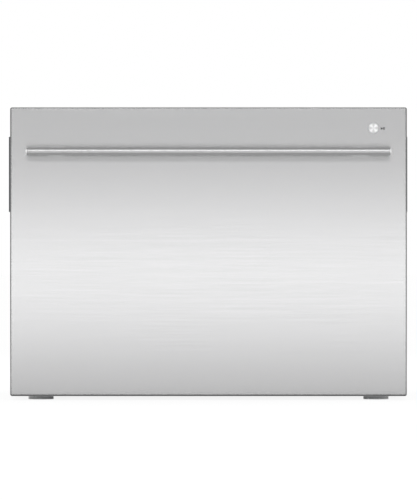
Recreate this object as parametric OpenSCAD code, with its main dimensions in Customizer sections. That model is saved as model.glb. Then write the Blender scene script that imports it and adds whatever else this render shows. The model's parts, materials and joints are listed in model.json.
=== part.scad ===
// Drawer dishwasher with one tall drawer, built as separate pieces. All sizes are in millimetres.
// X points right, the front faces -Y, Z points up. The origin is on the floor, mid footprint.

/* [Front panel] */
// Width of the steel front panel
panel_w = 596; // [590:1:597]
// Height of the steel front panel
panel_h = 434; // [425:1:460]
// Depth of the panel's folded edges
panel_fold = 18; // [16:1:24]
// Thickness of the panel's sheet
panel_t = 1; // [0.8:0.1:1.2]
// Radius of the fold round the front face
fold_r = 2.5; // [1.5:0.5:4]
// Radius of the panel's corners seen from the front
corner_r = 3; // [2:0.5:6]
// Height of the panel's lower edge above the floor
panel_lift = 6; // [4:1:9]
// Thickness of the moulded plate behind the panel
inner_door_t = 2; // [1.5:0.5:3]
// Gap between the door's back and the chassis
door_gap = 3; // [2.8:0.1:5]

/* [Handle] */
// Distance from a side edge of the panel to the end of the handle
handle_inset = 24.5; // [18:0.5:48]
// Height of the handle bar
handle_h = 11; // [9:0.5:14]
// Depth of the handle bar, front to back
handle_d = 18; // [12:1:22]
// Radius of the bar's front edges
handle_r = 3.5; // [2:0.5:4]
// Reach of the handle in front of the panel
handle_reach = 40; // [36:1:50]
// Drop of the bar's middle below the panel's top edge
handle_drop = 67; // [50:1:90]
// Distance from a bar end to the middle of its post
post_inset = 45; // [30:1:80]
// Width of a handle post
post_w = 26; // [18:1:40]
// Radius of a post's stud
stud_r = 2.5; // [2:0.5:3]
// Thickness of an end cap of the bar
cap_t = 1.5; // [1:0.5:3]

/* [Start button] */
// Radius of the start button
button_r = 7; // [5:0.5:9]
// Distance of the button's axis from the panel's right edge
button_inset = 50.3; // [36:0.1:72]
// Drop of the button's axis below the panel's top edge
button_drop = 31.3; // [30:0.1:34]
// Travel of the button
button_press = 1.5; // [1:0.1:2]
// Width of the ring round the button
bezel_w = 1; // [0.8:0.1:2]

/* [Keys on the door's top] */
// Height of the control strip in the door's top edge
fascia_h = 14.5; // [13:0.5:15]
// Distance from a side edge of the panel to the notch of the control strip
fascia_inset = 28; // [20:1:48]
// Length of a key
key_l = 14; // [10:1:18]
// Width of a key
key_w = 6; // [5:0.5:6.5]
// Travel of a key
key_press = 1; // [0.8:0.1:1.2]
// Distance between the two keys
key_pitch = 26; // [22:1:30]
// Number of indicator windows
led_count = 6; // [3:1:9]
// Distance between two indicator windows
led_pitch = 14; // [8:1:18]

/* [Chassis] */
// Distance that the chassis stands past a side edge of the panel
chassis_over = 0.5; // [0:0.1:1.5]
// Depth of the chassis
chassis_d = 550; // [540:1:580]
// Thickness of the chassis sheet
sheet_t = 1.2; // [0.8:0.1:1.5]
// Drop of the chassis top below the panel's top edge
top_drop = 2; // [1:0.5:4]
// Gap between the base frame and the floor
foot_gap = 12; // [10:1:14]
// Height of the base frame
base_h = 12; // [10:1:14]
// Width of a base rail
rail_w = 30; // [24:1:36]
// Depth of the recess at the foot of the back
back_recess = 42; // [38:1:48]
// Height of the top of that recess
recess_top = 120; // [110:1:130]
// Height of the side mounting brackets
bracket_h = 113; // [100:1:130]
// Depth of the side mounting brackets
bracket_d = 45; // [35:1:60]
// Thickness of the side mounting brackets
bracket_t = 0.9; // [0.8:0.1:1.2]
// Drop of the brackets' top below the panel's top edge
bracket_drop = 44; // [30:1:60]
// Thickness of the packer behind the left bracket
packer_t = 1.2; // [1:0.1:1.5]
// Distance between the screw holes of a bracket
bracket_pitch = 40; // [30:1:45]
// Radius of the screw holes of a bracket
bracket_hole_r = 2.5; // [2:0.1:3]
// Thickness of the trim round the chassis mouth
trim_t = 2.4; // [2:0.1:2.6]
// Width of the trim round the chassis mouth
trim_w = 13; // [11:0.5:14]

/* [Feet] */
// Radius of a foot pad
foot_r = 19; // [15:1:24]
// Height of a foot pad
foot_h = 8; // [6:1:9]
// Radius of a foot stem
stem_r = 5; // [4:0.5:6]
// Distance of a foot from the chassis sides
foot_inset = 45; // [40:1:60]
// Travel of a foot
foot_travel = 15; // [10:1:16]

/* [Runners] */
// Thickness of a three part runner
runner_t = 22; // [21:0.5:24]
// Height of a runner
runner_h = 45; // [40:1:50]
// Length of a runner
runner_l = 510; // [480:1:520]
// Height of the runner's middle above the floor
runner_z = 150; // [140:1:160]
// Thickness of the runner steel
runner_s = 1.6; // [1.4:0.1:1.8]
// Radius of a runner ball
ball_r = 2.45; // [2:0.05:3]
// Number of balls in a row
ball_count = 5; // [3:1:7]
// Travel of the drawer
travel = 520; // [450:1:530]

/* [Tub] */
// Wall thickness of the tub
tub_wall = 3; // [2.5:0.5:4]
// Depth of the tub
tub_d = 480; // [470:1:482]
// Room for the wash motor between the base frame and the tub
wash_room = 60; // [58:1:66]
// Radius of the tub's upright corners
tub_r = 24; // [18:1:36]
// Distance that the rim stands out of the tub's sides and back
rim_w = 9; // [7:0.5:9.5]
// Height of the rim
rim_h = 6; // [4:1:9]
// Thickness of the side rails that carry the runners
pad_t = 9.3; // [9:0.1:10]
// Radius of the sump
sump_r = 60; // [50:1:66]
// Depth of the sump below the tub's floor
sump_h = 24; // [22:1:26]
// Distance from the sump to the drain well
drain_y = 150; // [146:1:165]
// Radius of the drain well
drain_r = 28; // [22:1:32]

/* [Lid] */
// Thickness of the lid tray
lid_t = 14; // [12:1:16]
// Height of the lid's seal
seal_h = 9; // [7:0.5:10]
// Gap between the raised lid and the underside of the chassis top
roof_gap = 8.8; // [4:0.1:14]
// Gap between the raised seal and the tub's rim
lid_raise = 9; // [7:0.5:9]
// Width of the seal
seal_w = 7; // [6:0.5:8]
// Tooth module of the lid racks
gear_m = 1.25; // [1.15:0.05:1.25]
// Number of teeth of a lid pinion
gear_teeth = 16; // [14:1:17]
// Thickness of a lid rack
rack_t = 6; // [4:0.5:6]

/* [Wash system] */
// Length of the spray arm from its axis to its tip
spray_l = 212; // [150:1:222]
// Height of the spray arm
spray_h = 9; // [7:0.5:10]
// Width of the spray arm at its middle
spray_w = 46; // [36:1:56]
// Radius of the filter plate
filter_r = 108; // [95:1:112]
// Radius of the pump rotor
rotor_r = 46; // [36:1:48]
// Radius of the heater ring
heater_ring_r = 82; // [72:1:92]
// Radius of the heater's tube
heater_tube_r = 3.5; // [3:0.5:4]

/* [Dispenser] */
// Width of the dispenser
dispenser_w = 110; // [106:1:120]
// Height of the dispenser
dispenser_h = 90; // [84:1:100]
// Depth of the dispenser
dispenser_d = 25.5; // [22:0.5:28]
// Width of the detergent flap
flap_w = 52; // [40:1:54]
// Height of the detergent flap
flap_h = 50; // [40:1:52]
// Thickness of the detergent flap
flap_t = 2.6; // [2:0.1:3]
// Radius of the rinse aid cap
rinse_r = 16; // [12:0.5:18]

/* [Basket] */
// Gap between the tub's inner side and the basket
basket_side = 13; // [7:1:22]
// Drop of the basket's rim below the tub's rim
basket_drop = 24; // [16:1:40]
// Drop of the basket's front and of the cup racks below the basket's rim
front_drop = 85; // [80:1:93]
// Radius of the basket's wires
wire_r = 2.2; // [2:0.1:2.4]
// Number of wires across the basket
wires_x = 9; // [7:2:11]
// Number of wires along the basket
wires_y = 9; // [7:2:11]
// Radius of a tine
tine_r = 1.7; // [1.5:0.1:2]
// Length of a tine
tine_l = 92; // [70:1:110]
// Number of tines in a row
tine_count = 9; // [6:1:11]
// Distance of a tine row from the basket's middle
tine_x = 60; // [50:1:90]
// Width of a cup rack
cup_rack_w = 90; // [70:1:96]
// Length of a cup rack
cup_rack_l = 300; // [240:1:330]
// Number of cross wires in a cup rack
cup_wires = 9; // [5:1:13]
// Half length of the cutlery basket
cutlery_half = 108; // [80:1:130]
// Width of the cutlery basket
cutlery_w = 62; // [50:1:66]
// Height of the cutlery basket
cutlery_h = 104; // [80:1:120]
// Number of compartments in the cutlery basket
cutlery_cells = 4; // [2:1:5]

/* [Hose link] */
// Length of a link arm between its pins
arm_l = 430; // [420:1:440]
// Width of a link arm
arm_w = 26; // [22:1:28]
// Height of a link arm
arm_h = 14; // [10:1:16]
// Radius of a link pin
pin_r = 5; // [4:0.5:6]
// Height of the lower link arm above the floor
link_z = 262; // [250:1:275]
// Distance of the link pins behind the tub
link_back = 37.5; // [36:0.5:39]

/* [Services at the back] */
// Radius over the threads of the water inlet
inlet_r = 13.2; // [12:0.1:14]
// Radius of the drain spigot
spigot_r = 10; // [8:0.5:12]
// Length of the inlet and drain tails
tail_l = 28; // [20:1:30]
// Radius of the mains cable's entry
gland_r = 5; // [4:0.5:6]

/* [Clearances] */
// Radial clearance of a pin or shaft that turns or slides in its bore
run_gap = 0.05; // [0.02:0.01:0.1]
// Gap between parts that lie close but don't touch
seat_gap = 0.3; // [0.2:0.05:0.5]
// Gap between neighbouring wires of the basket
weld_gap = 0.05; // [0.03:0.01:0.1]

/* [Hidden] */
$fn = 64;
eps = 0.01;                                       // sink of one solid of a union into the next
cut = 1;                                          // overshoot of a cut past the face that it opens

// Front to back
door_t = panel_fold + inner_door_t;               // thickness of the whole door
overall_d = handle_reach + door_t + door_gap + chassis_d;
y_handle = -overall_d / 2;                        // front of the handle bar
y_panel = y_handle + handle_reach;                // face of the panel
y_fold = y_panel + panel_fold;                    // rear edge of the panel's folds
y_door_back = y_panel + door_t;                   // back of the door
y_chassis = y_door_back + door_gap;               // front of the chassis
y_back = y_chassis + chassis_d;                   // back of the chassis
y_recess = y_back - back_recess;                  // back of the recessed lower part
tub_set = 1;                                      // set-back of the tub behind the chassis mouth
y_tub = y_chassis + tub_set;                      // front of the tub
y_tub_back = y_tub + tub_d;                       // back of the tub
y_mid = (y_tub + y_tub_back) / 2;                 // middle of the tub
y_link = y_tub_back + link_back;                  // line of the link pins

// Upwards
z_panel_top = panel_lift + panel_h;
z_handle = z_panel_top - handle_drop;
z_button = z_panel_top - button_drop;
z_top = z_panel_top - top_drop;                   // top of the chassis
z_roof = z_top - sheet_t;                         // underside of the chassis top
z_base = foot_gap + base_h;                       // top of the base frame
z_floor = z_base + wash_room;                     // underside of the tub's floor
z_inside = z_floor + tub_wall;                    // top of the tub's floor
z_lid = z_roof - roof_gap - lid_t;                // underside of the raised lid tray
z_seal = z_lid - seal_h;                          // underside of the raised seal
z_rim = z_seal - lid_raise;                       // top of the tub's rim
z_sump = z_floor - sump_h;                        // underside of the sump

// Sideways
half_w = panel_w / 2 + chassis_over;              // outer face of a side panel
wall_in = half_w - sheet_t;                       // inner face of a side panel
runner_in = wall_in - runner_t;                   // inner face of a runner
tub_half = runner_in - pad_t;                     // outer face of the tub
rim_half = tub_half + rim_w;                      // outer edge of the tub's rim
basket_half = tub_half - tub_wall - basket_side;  // outer face of the basket
handle_l = panel_w - 2 * handle_inset;            // length of the handle over its end caps
fascia_half = panel_w / 2 - fascia_inset;         // half length of the notch for the control strip
button_x = panel_w / 2 - button_inset;

// Two-dimensional helpers, all exact arcs and straights
module round_rect(w, h, r) {
    union() {
        square([w - 2 * r, h], center = true);
        square([w, h - 2 * r], center = true);
        for (x = [-1, 1], y = [-1, 1]) translate([x * (w / 2 - r), y * (h / 2 - r)]) circle(r);
    }
}
module ring_rect(w, h, r, wall) {
    difference() {
        round_rect(w, h, r);
        round_rect(w - 2 * wall, h - 2 * wall, max(r - wall, 0.5));
    }
}
module slot_shape(l, r) {
    union() {
        square([l - 2 * r, 2 * r], center = true);
        for (x = [-1, 1]) translate([x * (l / 2 - r), 0]) circle(r);
    }
}

// Solid helpers: a rod or a bar along one axis, and the mirrored twin of a right-hand piece
module rod_x(x0, x1, r) { translate([x0, 0, 0]) rotate([0, 90, 0]) cylinder(r = r, h = x1 - x0); }
module rod_y(y0, y1, r) { translate([0, y0, 0]) rotate([-90, 0, 0]) cylinder(r = r, h = y1 - y0); }
module rod_z(z0, z1, r) { translate([0, 0, z0]) cylinder(r = r, h = z1 - z0); }
module block(a, b) { translate(a) cube(b - a); }
module on_side(side) { mirror([side < 0 ? 1 : 0, 0, 0]) children(); }
module along_x(l) { rotate([90, 0, 90]) linear_extrude(l, center = true) children(); }
module upright(z0, z1) { translate([0, 0, z0]) linear_extrude(z1 - z0) children(); }

// ---------- Front panel, handle and start button ----------

// A solid rounded on its front edges and at its four corners, from y0 back to y0 + d
module panel_form(w, z0, z1, y0, d, edge_r, plan_r) {
    h = z1 - z0;
    translate([0, y0, (z0 + z1) / 2]) intersection() {
        translate([0, d / 2, 0]) rotate([90, 0, 0]) linear_extrude(d, center = true) round_rect(w, h, plan_r);
        linear_extrude(h, center = true) translate([0, d]) round_rect(w, 2 * d, edge_r);
        rotate([90, 0, 90]) linear_extrude(w, center = true) translate([d, 0]) round_rect(2 * d, h, edge_r);
    }
}

post_x = handle_l / 2 - post_inset;
fascia_depth = 11.8;                              // depth of the control strip
top_lip = door_t - fascia_depth - seat_gap;       // depth of the panel's fold along its top
stud_hole = stud_r + 0.25;

module front_panel() color([0.78, 0.78, 0.79]) difference() {
    panel_form(panel_w, panel_lift, z_panel_top, y_panel, panel_fold, fold_r, corner_r);
    panel_form(panel_w - 2 * panel_t, panel_lift + panel_t, z_panel_top - panel_t, y_panel + panel_t,
               panel_fold, fold_r - panel_t, corner_r - panel_t);
    // notch in the top fold for the control strip
    block([-fascia_half, y_panel + top_lip, z_panel_top - 2 * panel_t],
          [fascia_half, y_fold + cut, z_panel_top + cut]);
    for (s = [-1, 1]) translate([s * post_x, 0, z_handle])
        rod_y(y_panel - cut, y_panel + 2 * panel_t, stud_hole);
    translate([button_x, 0, z_button]) rod_y(y_panel - cut, y_panel + 2 * panel_t, bezel_hole_r);
}

// The moulded plate that closes the door's back, with its locating rim and the feet that meet the tub
rim_in = seat_gap + panel_t;                      // set-in of the locating rim from the panel's edge
rim_deep = 7.5;                                   // depth of the locating rim inside the panel
rim_wall = 2.5;                                   // wall of the locating rim
door_foot_x = panel_w / 2 - 98;                   // the door's feet meet the tub this far from the middle
door_foot_r = 12;
door_foot_z = [z_floor + 30, z_rim - 60];
rib_half = panel_w / 2 - 58;                      // half length of the plate's stiffening ribs
rib_z = [for (i = [0 : 3]) panel_lift + 84 + 70 * i];
rib_deep = 9;
rib_t = 2;
pillar_r = 3;                                     // radius of a pillar that carries the circuit board
board_y = y_fold - 6;                             // rear face of the circuit board
module inner_door() color([0.32, 0.33, 0.35]) {
    z0 = panel_lift + panel_t;
    z1 = z_panel_top - panel_t;
    difference() {
        union() {
            block([-panel_w / 2 + panel_t, y_fold, z0], [panel_w / 2 - panel_t, y_door_back, z1]);
            translate([0, y_fold - rim_deep, (z0 + z1) / 2]) rotate([-90, 0, 0])
                linear_extrude(rim_deep)
                    ring_rect(panel_w - 2 * rim_in, z1 - z0 - 2 * seat_gap, corner_r, rim_wall);
            for (s = [-1, 1], z = door_foot_z)
                translate([s * door_foot_x, 0, z]) rod_y(y_door_back - eps, y_tub, door_foot_r);
            for (x = board_x, z = board_z) translate([x, 0, z]) rod_y(board_y, y_fold + eps, pillar_r);
            for (z = rib_z) block([-rib_half, y_fold - rib_deep, z], [rib_half, y_fold + eps, z + rib_t]);
        }
        block([-fascia_half - seat_gap, y_fold - rim_deep - cut, z_fascia - seat_gap],
              [fascia_half + seat_gap, y_door_back + cut, z_panel_top]);
    }
}

bar_y = y_handle + handle_d / 2;
back_edge_r = 1.5;                                // radius of the bar's rear edges
module bar_profile() {
    round_rect(handle_d, handle_h, handle_r);
    translate([handle_d / 4, 0]) round_rect(handle_d / 2, handle_h, back_edge_r);
}
module handle_bar() color([0.8, 0.8, 0.8])
    translate([0, bar_y, z_handle]) along_x(handle_l - 2 * cap_t) bar_profile();
module handle_caps() color([0.85, 0.85, 0.85]) for (s = [-1, 1])
    translate([s * (handle_l - cap_t) / 2, bar_y, z_handle]) along_x(cap_t) bar_profile();
post_h = handle_h - 2;                            // height of a handle post
post_corner = 2;                                  // radius of a post's edges
nut_h = 4;
nut_r = 1.85 * stud_r;                            // radius of a nut over its corners
stud_over = 2;                                    // length of a stud that shows past its nut
module handle_posts() color([0.75, 0.75, 0.76]) for (s = [-1, 1]) translate([s * post_x, 0, z_handle]) {
    translate([0, (y_handle + handle_d + y_panel) / 2, 0]) rotate([90, 0, 0])
        linear_extrude(handle_reach - handle_d, center = true) round_rect(post_w, post_h, post_corner);
    rod_y(y_panel - eps, y_panel + panel_t + nut_h + stud_over, stud_r);
}
module handle_nuts() color([0.6, 0.6, 0.58]) for (s = [-1, 1])
    translate([s * post_x, y_panel + panel_t, z_handle]) difference() {
        rotate([-90, 0, 0]) cylinder(r = nut_r, h = nut_h, $fn = 6);
        rod_y(-cut, nut_h + cut, stud_r + run_gap);
    }

bezel_proud = 0.6;                                // thickness of the bezel's flange on the panel
sleeve_wall = 0.65;
sleeve_r = button_r + run_gap + sleeve_wall;      // outer radius of the bezel's sleeve behind the panel
bezel_hole_r = sleeve_r + run_gap;
sleeve_end = y_panel + 3;
module button_bezel() color([0.6, 0.6, 0.61]) translate([button_x, 0, z_button]) difference() {
    union() {
        rod_y(y_panel - bezel_proud, y_panel, button_r + run_gap + bezel_w);
        rod_y(y_panel - eps, sleeve_end, sleeve_r);
    }
    rod_y(y_panel - bezel_proud - cut, sleeve_end + cut, button_r + run_gap);
}
button_proud = 0.8;
collar_t = 1;                                     // collar that keeps the button in its sleeve
collar_w = 0.8;
button_stem_r = 3;
button_end = y_panel + 6.2;                       // rear end of the button's stem at rest
module start_button() color([0.88, 0.88, 0.88]) translate([button_x, 0, z_button]) {
    rod_y(y_panel - button_proud, sleeve_end + seat_gap, button_r);
    rod_y(sleeve_end + seat_gap - eps, sleeve_end + seat_gap + collar_t, sleeve_r + collar_w);
    rod_y(sleeve_end + seat_gap, button_end, button_stem_r);
}

// ---------- Control strip in the door's top edge ----------

z_fascia = z_panel_top - fascia_h;
fascia_top = z_panel_top - 0.5;                   // the strip lies this little below the panel's edge
fascia_wall = 1.5;
fascia_roof = 2;
y_fascia = y_door_back - fascia_depth;
key_y = (y_fascia + y_door_back) / 2;
key_play = 2 * run_gap;                           // gap round a key
power_x = button_x - 12;
programme_x = power_x - key_pitch;
key_top = fascia_top + 0.4;
key_shoulder = fascia_top - fascia_roof - seat_gap;
shoulder_h = 3;                                   // height of a key's shoulder under the strip
shoulder_w = [2, 1.4];                            // width that the shoulder adds along and across the key
key_foot = key_shoulder - shoulder_h;
led_gap = 30;
led_x = programme_x - led_gap;                    // first indicator window
led_r = 1.5;
led_deep = 0.5;
module control_fascia() color([0.16, 0.16, 0.17]) difference() {
    block([-fascia_half + seat_gap, y_fascia, z_fascia], [fascia_half - seat_gap, y_door_back, fascia_top]);
    block([-fascia_half + seat_gap + fascia_wall, y_fascia + fascia_wall, z_fascia - cut],
          [fascia_half - seat_gap - fascia_wall, y_door_back - fascia_wall, fascia_top - fascia_roof]);
    for (x = [power_x, programme_x]) block(
        [x - key_l / 2 - key_play, key_y - key_w / 2 - key_play, fascia_top - fascia_roof - cut],
        [x + key_l / 2 + key_play, key_y + key_w / 2 + key_play, fascia_top + cut]);
    for (i = [0 : led_count - 1]) translate([led_x - i * led_pitch, key_y, 0])
        rod_z(fascia_top - led_deep, fascia_top + cut, led_r);
}
module key(x) translate([x, key_y, 0]) {
    upright(key_shoulder - eps, key_top) square([key_l, key_w], center = true);
    upright(key_foot, key_shoulder) square([key_l, key_w] + shoulder_w, center = true);
}
module power_key() color([0.5, 0.5, 0.52]) key(power_x);
module programme_key() color([0.5, 0.5, 0.52]) key(programme_x);

board_t = 1.6;
board_x = [button_x - 88, button_x + 8];          // the board's pillars
board_z = [z_button - 18, z_button + 8];
board_rim = 6;                                    // board outside its pillars
switch_half = 4;
key_switch_h = 4.5;
plug_x = board_x[0] + 8;                          // socket for the door's wires
plug_size = [26, 5, 18];
can_x = board_x[0] + 46;                          // two capacitors
can_pitch = 14;
can_r = 5;
can_h = 6;
module control_board() color([0.1, 0.35, 0.2]) {
    front = board_y - board_t;
    block([board_x[0] - board_rim, front, board_z[0] - board_rim],
          [board_x[1] + board_rim, board_y, board_z[1] + board_rim]);
    // switch behind the start button
    block([button_x - switch_half, button_end + button_press + seat_gap, z_button - switch_half],
          [button_x + switch_half, front + eps, z_button + switch_half]);
    // switches under the two keys
    for (x = [power_x, programme_x])
        block([x - switch_half, board_y - eps, board_z[1] - switch_half],
              [x + switch_half, board_y + key_switch_h, key_foot - key_press - seat_gap]);
    block([plug_x, front - plug_size[1], board_z[0]],
          [plug_x + plug_size[0], front + eps, board_z[0] + plug_size[2]]);
    for (i = [0, 1]) translate([can_x + i * can_pitch, 0, z_button - 8])
        rod_y(front - can_h, front + eps, can_r);
}

// ---------- Chassis ----------

lip_w = 10;                                       // width of the folds round the chassis mouth
lip_gap = 5;                                      // gap between a fold and the runner
runner_low = runner_z - runner_h / 2;
runner_high = runner_z + runner_h / 2;
bracket_z = z_panel_top - bracket_drop - bracket_h / 2;
bracket_y = y_chassis + bracket_d / 2;
thread_gap = 0.25;                                // radial room of a bracket's screw in the sheet behind it
module bracket_holes(x0, x1, r) for (i = [-1, 0, 1])
    translate([0, bracket_y, bracket_z + i * bracket_pitch]) rod_x(x0, x1, r);

lip_low = z_base + 2;                             // lower end of a side panel's fold
module side_panel() difference() {
    union() {
        block([wall_in, y_chassis, foot_gap], [half_w, y_back, z_roof]);
        block([wall_in - lip_w, y_chassis, lip_low], [half_w - eps, y_chassis + sheet_t,
            runner_low - lip_gap]);
        block([wall_in - lip_w, y_chassis, runner_high + lip_gap], [half_w - eps, y_chassis + sheet_t,
            z_roof]);
    }
    bracket_holes(wall_in - cut, half_w + cut, bracket_hole_r + thread_gap);
}
module side_panel_left() color([0.66, 0.68, 0.7]) on_side(-1) side_panel();
module side_panel_right() color([0.66, 0.68, 0.7]) side_panel();

module top_panel() color([0.66, 0.68, 0.7]) {
    block([-half_w, y_chassis, z_roof], [half_w, y_back, z_top]);
    fold = wall_in - lip_w - seat_gap;
    block([-fold, y_chassis, z_roof - lip_w], [fold, y_chassis + sheet_t, z_roof + eps]);
}

box_x = half_w - 108.5;                           // the terminal box and the inlet mirror each other
inlet_x = -box_x;
drain_x = inlet_x + 70;
service_z = (z_base + recess_top) / 2;
neck_r = 9;                                       // radius of the inlet's and the outlet's neck
neck_cut = 3;                                     // depth of the cuts through the back panel
vent_pitch = 50;
vent_rows = [z_rim - 60, z_rim - 36];
vent_l = 36;
vent_r = 3;
module back_panel() color([0.62, 0.64, 0.66]) difference() {
    union() {
        block([-wall_in, y_back - sheet_t, recess_top - eps], [wall_in, y_back, z_roof]);
        block([-wall_in, y_recess - sheet_t, recess_top - sheet_t], [wall_in, y_back, recess_top]);
        block([-wall_in, y_recess - sheet_t, z_base], [wall_in, y_recess, recess_top - eps]);
    }
    // vent slots
    for (i = [-3 : 3], z = vent_rows) translate([i * vent_pitch, y_back, z])
        rotate([90, 0, 0]) linear_extrude(4 * sheet_t, center = true) slot_shape(vent_l, vent_r);
    for (x = [inlet_x, drain_x])
        translate([x, 0, service_z]) rod_y(y_recess - neck_cut, y_recess + cut, neck_r + run_gap);
}

foot_x = half_w - foot_inset;
foot_y = [y_chassis + foot_inset, y_recess - foot_inset];
frame_wall = 1.5;
boss_h = 12;                                      // height of a foot boss above the base frame
boss_out = stem_r + 7;                            // outer radius of a foot boss
plate_t = 3;                                      // thickness of the plates that carry the bosses
plate_in = foot_x - boss_out - 2;                 // inner edge of those plates
plate_out = boss_out + 2;                         // reach of those plates past a foot's axis
module base_frame() color([0.4, 0.42, 0.44]) {
    w = 2 * wall_in;
    d = y_recess - sheet_t - y_chassis;
    yc = y_chassis + d / 2;
    difference() {
        union() {
            translate([0, yc, 0]) difference() {
                upright(foot_gap, z_base) square([w, d], center = true);
                upright(foot_gap - cut, z_base + cut) square([w - 2 * rail_w, d - 2 * rail_w], center = true);
                upright(foot_gap - cut, z_base - frame_wall) difference() {
                    square([w - 2 * frame_wall, d - 2 * frame_wall], center = true);
                    square([w - 2 * rail_w + 2 * frame_wall, d - 2 * rail_w + 2 * frame_wall], center = true);
                }
            }
            // corner plates that carry the foot bosses
            for (s = [-1, 1]) on_side(s) {
                block([plate_in, y_chassis, z_base - plate_t], [wall_in, foot_y[0] + plate_out, z_base]);
                block([plate_in, foot_y[1] - plate_out, z_base - plate_t], [wall_in,
                    y_recess - sheet_t, z_base]);
            }
            for (s = [-1, 1], y = foot_y) translate([s * foot_x, y, 0])
                rod_z(foot_gap, z_base + boss_h, boss_out);
        }
        for (s = [-1, 1], y = foot_y)
            translate([s * foot_x, y, 0]) rod_z(0, z_base + boss_h + cut, stem_r + run_gap);
    }
}
stem_top = z_base + foot_travel + 3;              // top of a stem with its foot wound in
module foot(x, y) color([0.15, 0.15, 0.16]) translate([x, y, 0]) {
    rod_z(0, foot_h, foot_r);
    rod_z(foot_h - eps, stem_top, stem_r);
}
module foot_front_left() foot(-foot_x, foot_y[0]);
module foot_front_right() foot(foot_x, foot_y[0]);
module foot_rear_left() foot(-foot_x, foot_y[1]);
module foot_rear_right() foot(foot_x, foot_y[1]);

// Shallow tray that hangs in the base frame and catches drips
tray_lap = 5;                                     // width of the tray's rim on the rails
tray_floor = foot_gap + 2;
tray_wall = 1.5;
module drip_tray() color([0.25, 0.26, 0.27]) {
    w = 2 * (plate_in - seat_gap);
    d = y_recess - sheet_t - y_chassis - 2 * rail_w - 2 * seat_gap;
    wall = tray_wall;
    translate([0, (y_chassis + y_recess - sheet_t) / 2, 0]) difference() {
        union() {
            upright(tray_floor, z_base + wall) square([w, d], center = true);
            upright(z_base, z_base + wall) square([w, d + 2 * tray_lap], center = true);
        }
        upright(tray_floor + wall, z_base + wall + cut) square([w - 2 * wall, d - 2 * wall], center = true);
    }
}

module bracket_block(x, t) block([x, y_chassis, bracket_z - bracket_h / 2],
    [x + t, y_chassis + bracket_d, bracket_z + bracket_h / 2]);
module side_brackets() color([0.3, 0.31, 0.32]) for (s = [-1, 1]) on_side(s) {
    x0 = half_w + (s < 0 ? packer_t : 0);
    difference() {
        bracket_block(x0, bracket_t);
        bracket_holes(x0 - cut, x0 + bracket_t + cut, bracket_hole_r);
    }
}
module bracket_packer() color([0.3, 0.31, 0.32]) on_side(-1) difference() {
    bracket_block(half_w, packer_t);
    bracket_holes(half_w - cut, half_w + packer_t + cut, bracket_hole_r + thread_gap);
}
module mouth_trim() color([0.2, 0.2, 0.21]) {
    for (s = [-1, 1]) on_side(s) block([wall_in - trim_w, y_chassis - trim_t, runner_high + lip_gap],
        [wall_in, y_chassis, z_top - trim_w + eps]);
    block([-wall_in, y_chassis - trim_t, z_top - trim_w], [wall_in, y_chassis, z_top]);
}

// ---------- Runners: outer member on the chassis, middle member, inner member on the tub ----------

y_runner = y_chassis + 5.5;                       // front end of the runners
race_t = 1.4;                                     // thickness of a ball race's inner flange
race_gap = 1.5;                                   // gap between that flange and the member beside it
race = runner_h / 2 - runner_s;                   // distance from the middle to a ball race's outer side
track = race - 2 * (ball_r + run_gap);            // distance from the middle to a ball race's inner side
web_x = runner_in + runner_t / 2;                 // middle of the middle member's web
web_half = 0.65;
web_gap = 0.4;                                    // gap between the web and its neighbours' flanges
module runner_bar(x0, x1, z0, z1)
    block([x0, y_runner, runner_z + z0], [x1, y_runner + runner_l, runner_z + z1]);
module runner_outer() {
    runner_bar(wall_in - runner_s, wall_in, -runner_h / 2, runner_h / 2);
    for (s = [-1, 1]) mirror_z(s) runner_bar(web_x + web_half + web_gap, wall_in - eps, race, runner_h / 2);
}
module mirror_z(s) translate([0, 0, runner_z]) mirror([0, 0, s < 0 ? 1 : 0])
    translate([0, 0, -runner_z]) children();
module runner_middle() {
    runner_bar(web_x - web_half, web_x + web_half, -runner_h / 2, runner_h / 2);
    for (s = [-1, 1]) mirror_z(s) {
        runner_bar(web_x, wall_in - runner_s - race_gap, track - race_t, track);
        runner_bar(runner_in + 1.3, web_x, race, runner_h / 2);
    }
}
module runner_inner() {
    runner_bar(runner_in, runner_in + runner_s, -track, track);
    for (s = [-1, 1]) mirror_z(s) runner_bar(runner_in, web_x - web_half - race_gap, track - race_t, track);
}
module runner_outers() color([0.72, 0.73, 0.75]) for (s = [-1, 1]) on_side(s) runner_outer();
module runner_middles() color([0.76, 0.77, 0.79]) for (s = [-1, 1]) on_side(s) runner_middle();
module runner_inners() color([0.72, 0.73, 0.75]) for (s = [-1, 1]) on_side(s) runner_inner();

// Balls between the members. The rear rows run in the outer member, the front rows round the inner one.
ball_z = (race + track) / 2;
ball_end = 15;                                    // distance of an end ball from its member's end
ball_pitch = (runner_l - travel / 2 - 40) / (ball_count - 1);
outer_ball_x = (web_x + web_half + wall_in - runner_s) / 2;
inner_ball_x = (runner_in + runner_s + web_x - web_half) / 2;
module runner_balls() color([0.85, 0.85, 0.86])
    for (side = [-1, 1]) on_side(side) for (s = [-1, 1], i = [0 : ball_count - 1]) {
        along = ball_end + i * ball_pitch;
        translate([outer_ball_x, y_runner + runner_l - along, runner_z + s * ball_z]) sphere(ball_r);
        translate([inner_ball_x, y_runner + along, runner_z + s * ball_z]) sphere(ball_r);
    }

// ---------- Lid with its racks, pinions and drives ----------

lid_half = rim_half - 3;
lid_y0 = y_tub + 1.5;
lid_y1 = y_tub_back + rim_w - 3.5;
lid_wall = 3;
lid_r = 14;                                       // radius of the lid's corners
lid_rib_pitch = 90;
lid_rib_t = 3;
pitch_r = gear_m * gear_teeth / 2;
tooth_pitch = PI * gear_m;
addendum = 0.8 * gear_m;
dedendum = 1.1 * gear_m;
backlash = 0.16;                                  // thinning of a tooth on each flank
rack_x = rim_half + 3;                            // inner face of a rack
rack_y = y_mid + 2.5;                             // middle of a rack's back strip
rack_line = rack_y + rack_t / 2 + dedendum;       // pitch line of a rack
rack_teeth = 10;
pinion_y = rack_line + pitch_r;
pinion_z = z_rim + 1;
rack_low = pinion_z - (rack_teeth / 2 + 0.6) * tooth_pitch;

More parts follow.
